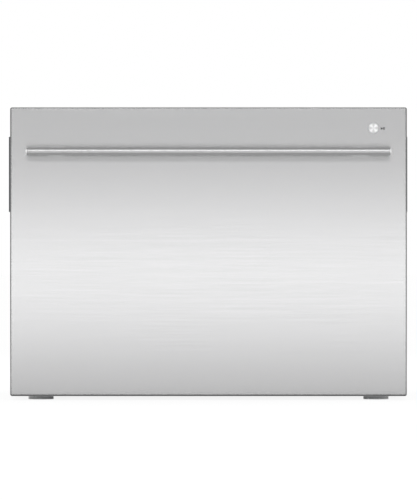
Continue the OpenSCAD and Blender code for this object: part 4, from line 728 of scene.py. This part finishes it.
def pressed_panel(front):
    """The steel front: folded on all sides, notched for the control strip and bored for the button."""
    fascia_low, fascia_high = node_box("control_fascia")
    button_low, button_high = node_box("start_button")
    half, middle = (PANEL_HIGH - PANEL_LOW) / 2, (PANEL_HIGH + PANEL_LOW) / 2
    depth, fold, gap, steps = 2 * half[1], front.fold_radius, 0.3 * MM, 6
    notch_x, notch_depth = fascia_high[0] + gap, fascia_low[1] - gap - PANEL_LOW[1]
    notch_ends = (notch_x + 0.02 * MM, notch_x, -notch_x, -notch_x - 0.02 * MM)
    rows = []
    for inset, level in panel_section(front, depth):
        corner = max(front.corner_radius - inset, 0.2 * MM)
        outline = rounded_outline(half[0] - inset, half[2] - inset, corner, steps)
        outline = np.insert(outline, steps + 1, [(x, half[2] - inset) for x in notch_ends], axis=0)
        notched = (np.abs(outline[:, 0]) <= notch_x) & (outline[:, 1] > 0)
        behind = max(level - fold, 0) / (depth - fold)
        levels = np.where(notched & (level > fold), fold + behind * (notch_depth - fold), level)
        rows.append(np.stack([outline[:, 0], levels, outline[:, 1]], axis=-1))
    hole = (button_low + button_high) / 2 - middle
    hole_r = front.button_radius + front.button_gap
    angle = np.arctan2(rows[0][:, 2] - hole[2], rows[0][:, 0] - hole[0])
    bore = np.stack([hole[0] + hole_r * np.cos(angle), np.zeros_like(angle),
                     hole[2] + hole_r * np.sin(angle)], axis=-1)
    points = np.stack([bore, *rows, bore + [0, front.sheet, 0]]) + [middle[0], PANEL_LOW[1], middle[2]]
    panel = Shape().grid(points, close_rows=True)
    panel.piece("pressed_panel", "drawer", "panel_steel", ["front_panel"], crease=50)


def bar_profile(low, high, front):
    """Section of the handle bar in Y and Z. Its upper front edge is a quarter ellipse. Its face is upright
    down to a square groove, and below that a facet slopes back to the underside."""
    rear, crown, slope = front.bar_rear, front.bar_crown, front.bar_facet
    upper = arc((0, 0), 1, 90, 180, 12) * (front.bar_upper, crown)
    upper += (low[1] + front.bar_upper, high[2] - crown)
    groove_top, groove_foot, facet_y = front.groove_height, front.groove_height - front.groove, 0.4 * MM
    groove = np.array([(0, groove_top + 0.2 * MM), (0.15 * MM, groove_top), (front.groove, groove_top),
                       (front.groove, groove_foot), (facet_y, groove_foot)]) + low[1:]
    run = groove_foot - facet_y
    edge = groove[-1] + (run * math.tan(slope), -run)
    toe = np.array([edge + (0.12 * MM, -0.25 * MM), edge + (0.45 * MM, -facet_y)])
    back = [arc((high[1] - rear, z), rear, start, start + 90, 6)
            for z, start in ((low[2] + rear, 270), (high[2] - rear, 0))]
    return np.concatenate([upper, groove, [edge], toe, *back])


def sections(profile, places):
    """Points of a section in Y and Z, or of one for each row, set at places along X."""
    profile = np.broadcast_to(profile, (len(places), *np.shape(profile)[-2:]))
    x = np.broadcast_to(np.asarray(places)[:, None, None], (*profile.shape[:2], 1))
    return np.concatenate([x, profile], axis=-1)


def handle_pieces(front):
    """The bar carried along X, and at each end a cap of the same section with a rounded rim."""
    low, high = node_box("handle_bar")
    profile, end = bar_profile(low, high, front), node_box("handle_caps")[1][0]
    bar = Shape().grid(sections(profile, np.linspace(low[0], high[0], 9)), capped=True)
    bar.piece("handle_grip", "drawer", "handle_steel", ["handle_bar"])
    rim, cap = 0.5 * MM, Shape()
    inset = np.array([0, 0, 0.15, 0.5, 1]) * rim
    reach = np.array([high[0], end - rim, end - 0.5 * rim, end - 0.15 * rim, end])
    set_in = profile + inset[:, None, None] * unit(profile.mean(axis=0) - profile)
    for side in (1, -1):
        cap.grid(sections(set_in, side * reach), capped=True, flip=side < 0)
    cap.piece("handle_end_caps", "drawer", "cap_metal", ["handle_caps"])


def turned_map(piece, sides, rows):
    """UV map of a turned piece: U goes once round it and V from its middle outwards, so its tangent runs
    round. Quads at the seam go on past 1."""
    mesh = piece.data
    layer = mesh.uv_layers.new(name="turned")
    corner = np.zeros(len(mesh.loops), dtype=np.int32)
    mesh.loops.foreach_get("vertex_index", corner)
    first, size = np.zeros((2, len(mesh.polygons)), dtype=np.int32)
    mesh.polygons.foreach_get("loop_start", first)
    mesh.polygons.foreach_get("loop_total", size)
    row, column = corner // sides, (corner % sides).astype(float)
    highest, corners = np.repeat(np.maximum.reduceat(column, first), size), np.repeat(size, size)
    column += np.where((highest > sides / 2) & (column < 2) & (corners == 4), sides, 0)
    layer.data.foreach_set("uv", np.stack([column / sides, row / rows], axis=-1).ravel())


def start_button_pieces(front):
    """Turned button with a dished face, its ring, and the play and pause mark printed beside it."""
    low, high = node_box("start_button")
    ring_low, ring_high = node_box("button_bezel")
    x, _, z = (low + high) / 2
    r, face, back, edge, stem_r = front.button_radius, low[1], high[1], 0.25 * MM, 3 * MM
    collar_r, sleeve_end = (high[0] - low[0]) / 2, ring_high[1] + 0.3 * MM
    collar_end = sleeve_end + 1 * MM
    dish = [(r * t, face + edge * (1 - t ** 2)) for t in np.linspace(0.02, 0.86, 8)]
    profile = dish + [(0.9 * r, face), (0.95 * r, face), (0.985 * r, face + 0.08 * MM), (r, face + edge),
                      (r, sleeve_end), (collar_r, sleeve_end), (collar_r, collar_end), (stem_r, collar_end),
                      (stem_r, back)]
    sides = 72
    button = lathe(Shape(), (x, 0, z), "y", profile, sides)
    turned_map(button.piece("start_button_face", "start_button", "button_metal", ["start_button"]), sides,
               len(profile))
    outer, inner, seat = (ring_high[0] - ring_low[0]) / 2, r + 0.05 * MM, PANEL_LOW[1]
    lip, bevel, bore = ring_low[1], 0.15 * MM, inner + 0.65 * MM
    section = [(inner, ring_high[1]), (inner, lip + bevel), (inner + bevel, lip), (outer - bevel, lip),
               (outer, lip + bevel), (outer, seat), (bore, seat), (bore, ring_high[1])]
    rim = Shape().grid(turned((x, 0, z), "y", section, 64), close_rows=True)
    rim.piece("button_ring", "drawer", "bezel_metal", ["button_bezel"])
    triangle, bars = [(0, -2.3), (2.9, 0), (0, 2.3)], [box_outline(s, s + 0.9, -2.1, 2.1) for s in (3.4, 4.9)]
    printed([triangle, *bars], (x + front.mark_gap, seat, z - front.mark_drop), "play_pause_mark", "drawer",
            "bezel_metal", "mark_ink")


def box_outline(left, right, bottom, top):
    """Outline of an upright rectangle."""
    return [(left, bottom), (right, bottom), (right, top), (left, top)]


def printed(outlines, place, name, body, slot, ink, thickness=0.06, upward=False):
    """Flat printed figures, each a raised outline a few hundredths of a millimetre thick, in millimetres."""
    shape, sunk = Shape(), 0.02
    for outline in outlines:
        flat = np.insert(np.array(outline, dtype=float), 1, 0, axis=1)
        rows = np.stack([flat + [0, level, 0] for level in (sunk, -thickness)])
        if upward:
            rows = rows[..., [0, 2, 1]] * [1, 1, -1]
        shape.grid(rows * MM + np.asarray(place), capped=True, flip=upward)
    shape.piece(name, body, slot, look=ink)


# ---------- Basket ----------

def basket_lines(wires):
    """Where the basket's wires lie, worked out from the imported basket's box as its source does."""
    low, high = node_box("basket")
    r, step = wires.radius, 2 * wires.radius + 0.05 * MM
    rack_low, rack_high = node_box("cup_rack_right")
    lines = {"rail": high[0] - r, "front": low[1] + r, "back": high[1] - r, "rim": high[2] - r,
             "hoop": (rack_low[2] + rack_high[2]) / 2, "feet": low[2], "step": step}
    lines["post"] = lines["rail"] - step
    lines["rows"] = (lines["front"] + step, lines["back"] - step)
    lines["floor"] = low[2] + wires.floor_rise + r
    lines["middle"] = (lines["floor"] + lines["hoop"]) / 2
    lines["cross"] = np.linspace(lines["rows"][0] + step, lines["rows"][1] - step, wires.across)
    lines["long"] = np.linspace(step - lines["post"], lines["post"] - step, wires.along)
    return lines


def basket_piece(wires):
    """U-shaped wires across and along, hoops round them, a rim round three sides, and legs with feet."""
    at, r, shape = basket_lines(wires), wires.radius, Shape()
    x, low, rim, hoop = at["post"], at["floor"], at["rim"], at["hoop"]
    for y in at["cross"]:
        corners = [(-x, y, rim), (-x, y, low), (x, y, low), (x, y, rim)]
        tube(shape, fillet_path(corners, wires.bend), r, (0, 1, 0))
    front, back = at["rows"]
    upper = low + at["step"]
    for x_long in at["long"]:
        corners = [(x_long, front, hoop), (x_long, front, upper), (x_long, back, upper), (x_long, back, rim)]
        tube(shape, fillet_path(corners, wires.bend), r, (1, 0, 0))
    side, y0, y1 = at["rail"], at["front"], at["back"]
    for z in (at["middle"], hoop):
        corners = [(side, y0, z), (side, y1, z), (-side, y1, z), (-side, y0, z)]
        tube(shape, fillet_path(corners, wires.corner, closed=True), r, (0, 0, 1), closed=True)
    corners = [(side, y0 - r, rim), (side, y1, rim), (-side, y1, rim), (-side, y0 - r, rim)]
    tube(shape, fillet_path(corners, wires.corner), r, (0, 0, 1))
    foot = [(0.3 * r, 0), (1.8 * r, 0), (2 * r, 0.5 * MM), (2 * r, 3 * MM), (1.6 * r, 3.8 * MM),
            (r, 4.4 * MM), (r, low - 0.8 * r - at["feet"])]
    leg = x - wires.leg_inset
    for x_leg in (leg, -leg):
        for y in (at["cross"][0], at["cross"][-1]):
            lathe(shape, (x_leg, y, at["feet"]), "z", foot, 20)
    shape.piece("coated_basket", "drawer", "rack_coating", ["basket"])
    clip_pieces(wires, at)


def clip_pieces(wires, at):
    """Moulded clips: a ring round the wire that turns in it, on a foot that holds the basket's wires."""
    low, high = node_box("cup_rack_right")
    hinge, shape, half, play = high[0] - wires.radius, Shape(), 4 * MM, 0.25 * MM
    hoop, middle, foot = at["hoop"], (low[1] + high[1]) / 2, at["floor"] + at["step"] + wires.radius
    grip, block, neck = 3 * MM, 4.6 * MM, 3.6 * MM
    for side, sign in RIGHT_LEFT:
        for y in (middle - wires.rack_clips, middle + wires.rack_clips):
            ring(shape, (sign * hinge, y, hoop), wires.radius + play, wires.radius + grip, half)
            ends = sorted((sign * (hinge + wires.radius + 0.5 * grip), sign * (at["rail"] - wires.radius)))
            soft_block(shape, (ends[0], y - half, hoop - block), (ends[1], y + half, hoop + block), 0.6 * MM)
        row_low, row_high = node_box("tine_row_" + side)
        x, z = (row_low[0] + row_high[0]) / 2, row_low[2] + wires.tine_radius
        for y in (row_low[1] + wires.tine_clips, row_high[1] - wires.tine_clips):
            ring(shape, (x, y, z), wires.tine_radius + play, wires.tine_radius + 2 * MM, half)
            top = z - wires.tine_radius - 2 * play
            soft_block(shape, (x - neck, y - half, foot), (x + neck, y + half, top), 0.5 * MM)
    shape.piece("rack_clips", "drawer", "rack_coating", look="spray_plastic")


def folding_racks(wires):
    """Two rows of tines on a turning wire, and two cup racks: a bent frame with thinner rods across it."""
    for side in ("left", "right"):
        row, rack = "tine_row_" + side, "cup_rack_" + side
        low, high = node_box(row)
        r, x, shape = wires.tine_radius, (low[0] + high[0]) / 2, Shape()
        z = low[2] + r
        tube(shape, [(x, y, z) for y in np.linspace(low[1], high[1], 3)], r, (0, 0, 1), sides=14)
        for y in np.linspace(low[1] + r, high[1] - r, wires.tines):
            tube(shape, [(x, y, level) for level in np.linspace(z, high[2], 5)], r, (0, 1, 0), sides=14)
        shape.piece("tines_" + side, row, "rack_coating", [row])
        low, high = node_box(rack)
        r, z, shape = wires.radius, (low[2] + high[2]) / 2, Shape()
        x0, y0, x1, y1 = low[0] + r, low[1] + r, high[0] - r, high[1] - r
        corners = [(x0, y0, z), (x1, y0, z), (x1, y1, z), (x0, y1, z)]
        tube(shape, fillet_path(corners, wires.rack_corner, closed=True), r, (0, 0, 1), closed=True, sides=14)
        for y in np.linspace(y0, y1, wires.rods)[1:-1]:
            tube(shape, [(x, y, z) for x in np.linspace(x0, x1, 3)], 0.8 * r, (0, 0, 1), sides=12)
        shape.piece("cup_wires_" + side, rack, "rack_coating", [rack])


# ---------- Chassis, control strip and hoses ----------

def side_details(sheet, sign, beads, screws):
    """Two pressed beads along a side, and screws along its foot and its top."""
    low, high = node_box("side_panel_right")
    x, middle, inset = sign * high[0], (low[1] + high[1]) / 2, sheet.screw_inset
    inset_y, inset_foot = inset + 4 * MM, inset + 2 * MM
    half_width, rise = 9 * MM, 0.75 * MM
    for z in (sheet.lower_bead, sheet.upper_bead):
        bead(beads, (x, middle, z), (0, 1, 0), (0, 0, sign), sheet.bead_reach, half_width, rise)
    for y in (low[1] + inset_y, middle, high[1] - inset_y):
        for z in (low[2] + inset_foot, high[2] - inset):
            screw_head(screws, (x, y, z), (sign, 0, 0), (0, 0.8, 0.6), 0.8 * MM)


def top_details(sheet, beads, screws):
    """Two pressed beads along the top, and screws along its front and back edges."""
    low, high = node_box("top_panel")
    side_low, side_high = node_box("side_panel_right")
    middle, inset, top = (side_low[1] + side_high[1]) / 2, sheet.screw_inset, high[2]
    half_width, rise = 12 * MM, 1.5 * MM
    for x in (-sheet.top_bead, sheet.top_bead):
        bead(beads, (x, middle, top), (0, 1, 0), (-1, 0, 0), sheet.bead_reach, half_width, rise)
    for x in np.array([-1.5, -0.5, 0.5, 1.5]) * sheet.screw_step:
        for y in (low[1] + inset, high[1] - inset):
            screw_head(screws, (x, y, top), (0, 0, 1), (0.9, 0.436, 0), 1.3 * MM)


def chassis_details(sheet):
    """Pressed beads on the sides and the top, and the screws along the sheets' edges."""
    beads, screws = {"right": Shape(), "left": Shape(), "top": Shape()}, Shape()
    for side, sign in RIGHT_LEFT:
        side_details(sheet, sign, beads[side], screws)
    top_details(sheet, beads["top"], screws)
    for name, shape in beads.items():
        shape.piece("beads_" + name, "chassis", "chassis_steel", crease=60)
    screws.piece("chassis_screws", "chassis", "plated_steel", crease=28)


def ring_sector(radius, width, start, end):
    """Outline of part of a ring: out along its outer arc and back along its inner one."""
    return np.concatenate([arc((0, 0), radius + width / 2, start, end, 24),
                           arc((0, 0), radius - width / 2, end, start, 24)])


def lamp_dots(count):
    """Outlines of small dots in a row about the middle, whose number is the lamp's."""
    pitch, radius = 0.9, 0.32
    return [arc((pitch * (k - (count - 1) / 2), 0), radius, 0, 330, 11) for k in range(count)]


def strip_details(strip):
    """Lamps' lenses along the control strip, and plain symbols on and beside its keys."""
    top = node_box("control_fascia")[1][2]
    power_low, power_high = node_box("power_key")
    other_low, other_high = node_box("programme_key")
    y, lenses = (power_low[1] + power_high[1]) / 2, Shape()
    profile = np.array([(1.45, -0.45), (1.45, -0.15), (1.1, -0.02), (0.6, 0.04), (0.05, 0.06)]) * MM
    for i in range(strip.lamps):
        x = other_low[0] - strip.lamp_gap - strip.lamp_step * i
        lathe(lenses, (x, y, top), "z", profile, 24, flip=True)
        printed(lamp_dots(i + 1), (x, y - strip.dots_drop, top), "lamp_dots_%d" % (i + 1), "drawer",
                "fascia_plastic", "pale_ink", upward=True)
    lenses.piece("lamp_lenses", "drawer", "fascia_plastic", look="indicator")
    x = (power_low[0] + power_high[0]) / 2
    symbol = [ring_sector(1.55, 0.45, 120, 420), box_outline(-0.22, 0.22, 0.7, 2.2)]
    printed(symbol, (x, y, power_high[2]), "power_symbol", "power_key", "key_plastic", "mark_ink", 0.05,
            upward=True)
    x = (other_low[0] + other_high[0]) / 2
    lines = [box_outline(-2, 2, t - 0.2, t + 0.2) for t in (-1.2, 0, 1.2)]
    printed(lines, (x, y, other_high[2]), "programme_symbol", "programme_key", "key_plastic", "mark_ink",
            0.05, upward=True)


def hose_pieces(hose):
    """Two corrugated hoses in each link arm's channel: their radius follows a cosine along them."""
    wave, per_wave = 0.35 * MM, 4
    count = round(2 * hose.reach / hose.pitch) * per_wave + 1
    along = np.linspace(-hose.reach, hose.reach, count)
    radius = hose.radius - wave + wave * np.cos(along / hose.pitch * TURN)
    profile = np.stack([radius, along], axis=-1)
    for end in ("rear", "front"):
        arm = "link_arm_" + end
        low, high = node_box(arm)
        middle, shape = (low + high) / 2, Shape()
        for offset in (-hose.offset, hose.offset):
            lathe(shape, middle + [0, offset, 0], "x", profile, 14)
        shape.piece("hoses_" + end, arm, "outlet_plastic", crease=60)


# ---------- Stage ----------

def seen_directly(tree):
    """1 for rays of the camera, of reflections and of clear glass, and 0 for all others."""
    path = add(tree, "ShaderNodeLightPath").outputs
    first = maths(tree, "MAXIMUM", path["Is Camera Ray"], path["Is Glossy Ray"])
    return maths(tree, "MAXIMUM", first, path["Is Transmission Ray"])


def stage_piece(name, corners, surface):
    """Four-cornered sheet of the stage, whose material is the shader that surface adds to the given tree."""
    mesh = bpy.data.meshes.new(name)
    mesh.from_pydata(corners, [], [(0, 1, 2, 3)])
    material = bpy.data.materials.new(name)
    material.use_nodes = True
    tree = material.node_tree
    tree.nodes.clear()
    add(tree, "ShaderNodeOutputMaterial", {"Surface": surface(tree)})
    mesh.materials.append(material)
    sheet = bpy.data.objects.new(name, mesh)
    bpy.context.scene.collection.objects.link(sheet)
    return sheet


def glow(tree, level):
    """Plain white light of one level."""
    return add(tree, "ShaderNodeEmission", {"Color": (1, 1, 1, 1), "Strength": level}).outputs[0]


def pale_floor(tree):
    """Grey for the light that falls on it, and near white with a soft shadow where it is seen directly."""
    plain = add(tree, "ShaderNodeBsdfDiffuse", {"Color": (0.78, 0.78, 0.78, 1)}).outputs[0]
    shaded = add(tree, "ShaderNodeBsdfDiffuse", {"Color": (0.18, 0.18, 0.18, 1)}).outputs[0]
    lifted = add(tree, "ShaderNodeAddShader", {0: shaded, 1: glow(tree, 0.88)}).outputs[0]
    return add(tree, "ShaderNodeMixShader", {0: seen_directly(tree), 1: plain, 2: lifted}).outputs[0]


def floor_and_world(stage):
    """White all round, and a pale floor that keeps a soft shadow."""
    world = bpy.data.worlds.new("white_surround")
    world.use_nodes = True
    tree = world.node_tree
    light = tree.nodes["Background"].inputs
    feed(tree, light["Color"], (1, 1, 1, 1))
    feed(tree, light["Strength"], spread(tree, seen_directly(tree), stage.ambient, 1.0))
    bpy.context.scene.world = world
    half = 40.0
    stage_piece("floor", [(-half, -half, 0), (half, -half, 0), (half, half, 0), (-half, half, 0)], pale_floor)


def area_light(name, place, aim, size, watts):
    """Rectangular lamp that the camera doesn't see, turned towards a point."""
    data = bpy.data.lights.new(name, "AREA")
    data.shape = "RECTANGLE"
    data.size, data.size_y = size
    data.energy = watts
    lamp = bpy.data.objects.new(name, data)
    lamp.location = place
    lamp.rotation_euler = (Vector(aim) - Vector(place)).to_track_quat("-Z", "Y").to_euler()
    lamp.visible_camera = False
    bpy.context.scene.collection.objects.link(lamp)


def studio_lights():
    """A long low strip in front, which the brushing draws up and down, and a soft key high in front."""
    front_y = PANEL_LOW[1]
    area_light("strip", (0, front_y - 1.1, 0.174), (0, front_y, 0.174), (3.6, 0.22), 7.25)
    area_light("key", (0.1, front_y - 5, 1.59), (0, front_y, 0.25), (3.0, 0.5), 33)
    area_light("back_fill", (0, 2.2, 1.6), (0, 0.2, 0.2), (2.0, 1.2), 12)


def glow_card(name, corners, level):
    """Card of a plain level of light that only reflections see."""
    card = stage_piece("card_" + name, corners, lambda tree: glow(tree, level))
    card.visible_camera = False
    card.visible_diffuse = False
    card.visible_shadow = False


def dim_cards():
    """Dim cards overhead, on the floor and at the sides, which draw the thin lines of handle and folds."""
    y, half, top = PANEL_LOW[1], 3, 1.4
    level_cards = (("above", 1.6, y - 1.0, y + 1.2, 0.75), ("near", 0.003, y - 0.05, y, 0.15),
                   ("far", 0.003, y - 1.4, y - 0.38, 0.85))
    for name, z, front, back, level in level_cards:
        glow_card(name, [(-half, front, z), (half, front, z), (half, back, z), (-half, back, z)], level)
    front, back = y - 1.3, y + 0.6
    for name, x in (("left", -1.4), ("right", 1.4)):
        glow_card(name, [(x, front, 0), (x, back, 0), (x, back, top), (x, front, top)], 0.45)


def camera(stage):
    """Long lens straight on, at the photograph's height and distance."""
    data = bpy.data.cameras.new("camera")
    data.sensor_fit = "VERTICAL"
    data.sensor_height = 36
    data.lens = data.sensor_height * stage.distance / stage.view_height
    data.clip_end = 100
    viewer = bpy.data.objects.new("camera", data)
    viewer.location = (0, PANEL_LOW[1] - stage.distance, stage.aim_height)
    viewer.rotation_euler = (math.radians(90), 0, 0)
    bpy.context.scene.collection.objects.link(viewer)
    bpy.context.scene.camera = viewer


# ---------- Operators ----------

class DISHWASHER_OT_finishes(bpy.types.Operator):
    """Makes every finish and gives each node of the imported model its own"""

    bl_idname = "dishwasher.finishes"
    bl_label = "Finishes"

    def execute(self, context):
        FINISH.update(finishes(context.scene.dishwasher_front, context.scene.dishwasher_wires))
        for part in frame["record"]["subparts"]:
            materials = frame["nodes"][part["node"]].data.materials
            materials.clear()
            materials.append(FINISH[part["material_slot"]])
        return {"FINISHED"}


class DISHWASHER_OT_front(bpy.types.Operator):
    """Builds the steel panel, the handle, the start button and its mark"""

    bl_idname = "dishwasher.front"
    bl_label = "Front"

    def execute(self, context):
        front = context.scene.dishwasher_front
        pressed_panel(front)
        handle_pieces(front)
        start_button_pieces(front)
        return {"FINISHED"}


class DISHWASHER_OT_strip(bpy.types.Operator):
    """Builds the control strip's lenses and symbols"""

    bl_idname = "dishwasher.strip"
    bl_label = "Control strip"

    def execute(self, context):
        strip_details(context.scene.dishwasher_strip)
        return {"FINISHED"}


class DISHWASHER_OT_chassis(bpy.types.Operator):
    """Builds the pressed beads and the screws of the chassis"""

    bl_idname = "dishwasher.chassis"
    bl_label = "Chassis"

    def execute(self, context):
        chassis_details(context.scene.dishwasher_chassis)
        return {"FINISHED"}


class DISHWASHER_OT_baskets(bpy.types.Operator):
    """Builds the wire basket, its clips, the tine rows and the cup racks"""

    bl_idname = "dishwasher.baskets"
    bl_label = "Baskets"

    def execute(self, context):
        wires = context.scene.dishwasher_wires
        basket_piece(wires)
        folding_racks(wires)
        return {"FINISHED"}


class DISHWASHER_OT_hoses(bpy.types.Operator):
    """Builds the hoses that lie in the link arms"""

    bl_idname = "dishwasher.hoses"
    bl_label = "Hoses"

    def execute(self, context):
        hose_pieces(context.scene.dishwasher_hoses)
        return {"FINISHED"}


class DISHWASHER_OT_eased(bpy.types.Operator):
    """Gives moulded and sheet nodes a copy with its edges rounded"""

    bl_idname = "dishwasher.eased"
    bl_label = "Eased edges"

    def execute(self, context):
        for part in frame["record"]["subparts"]:
            node = part["node"]
            if node in EASED:
                eased(node, BODY_OF[node], part["material_slot"], EASED[node] * MM)
        return {"FINISHED"}


class DISHWASHER_OT_stage(bpy.types.Operator):
    """Sets the floor, the plain studio light, the dim cards for the steel and the camera"""

    bl_idname = "dishwasher.stage"
    bl_label = "Stage"

    def execute(self, context):
        stage = context.scene.dishwasher_stage
        floor_and_world(stage)
        studio_lights()
        dim_cards()
        camera(stage)
        return {"FINISHED"}


OPERATORS = (DISHWASHER_OT_finishes, DISHWASHER_OT_front, DISHWASHER_OT_strip, DISHWASHER_OT_chassis,
             DISHWASHER_OT_baskets, DISHWASHER_OT_hoses, DISHWASHER_OT_eased, DISHWASHER_OT_stage)


class DISHWASHER_PT_panel(bpy.types.Panel):
    """Lists the steps that build the dishwasher"""

    bl_label = "Drawer dishwasher"
    bl_idname = "DISHWASHER_PT_panel"
    bl_space_type = "VIEW_3D"
    bl_region_type = "UI"
    bl_category = "Dishwasher"

    def draw(self, context):
        for name in SIZES:
            group = getattr(context.scene, name)
            for key in group.bl_rna.properties.keys():
                if key not in ("rna_type", "name"):
                    self.layout.prop(group, key)
        for operator in OPERATORS:
            self.layout.operator(operator.bl_idname)


def register():
    for name, group in SIZES.items():
        bpy.utils.register_class(group)
        setattr(bpy.types.Scene, name, PointerProperty(type=group))
    for kind in (*OPERATORS, DISHWASHER_PT_panel):
        bpy.utils.register_class(kind)


def unregister():
    for kind in (DISHWASHER_PT_panel, *reversed(OPERATORS)):
        bpy.utils.unregister_class(kind)
    for name, group in SIZES.items():
        delattr(bpy.types.Scene, name)
        bpy.utils.unregister_class(group)


def main():
    register()
    bpy.context.scene.view_settings.view_transform = "Standard"
    for operator in OPERATORS:
        group, name = operator.bl_idname.split(".")
        getattr(getattr(bpy.ops, group), name)()


if __name__ == "__main__":
    main()
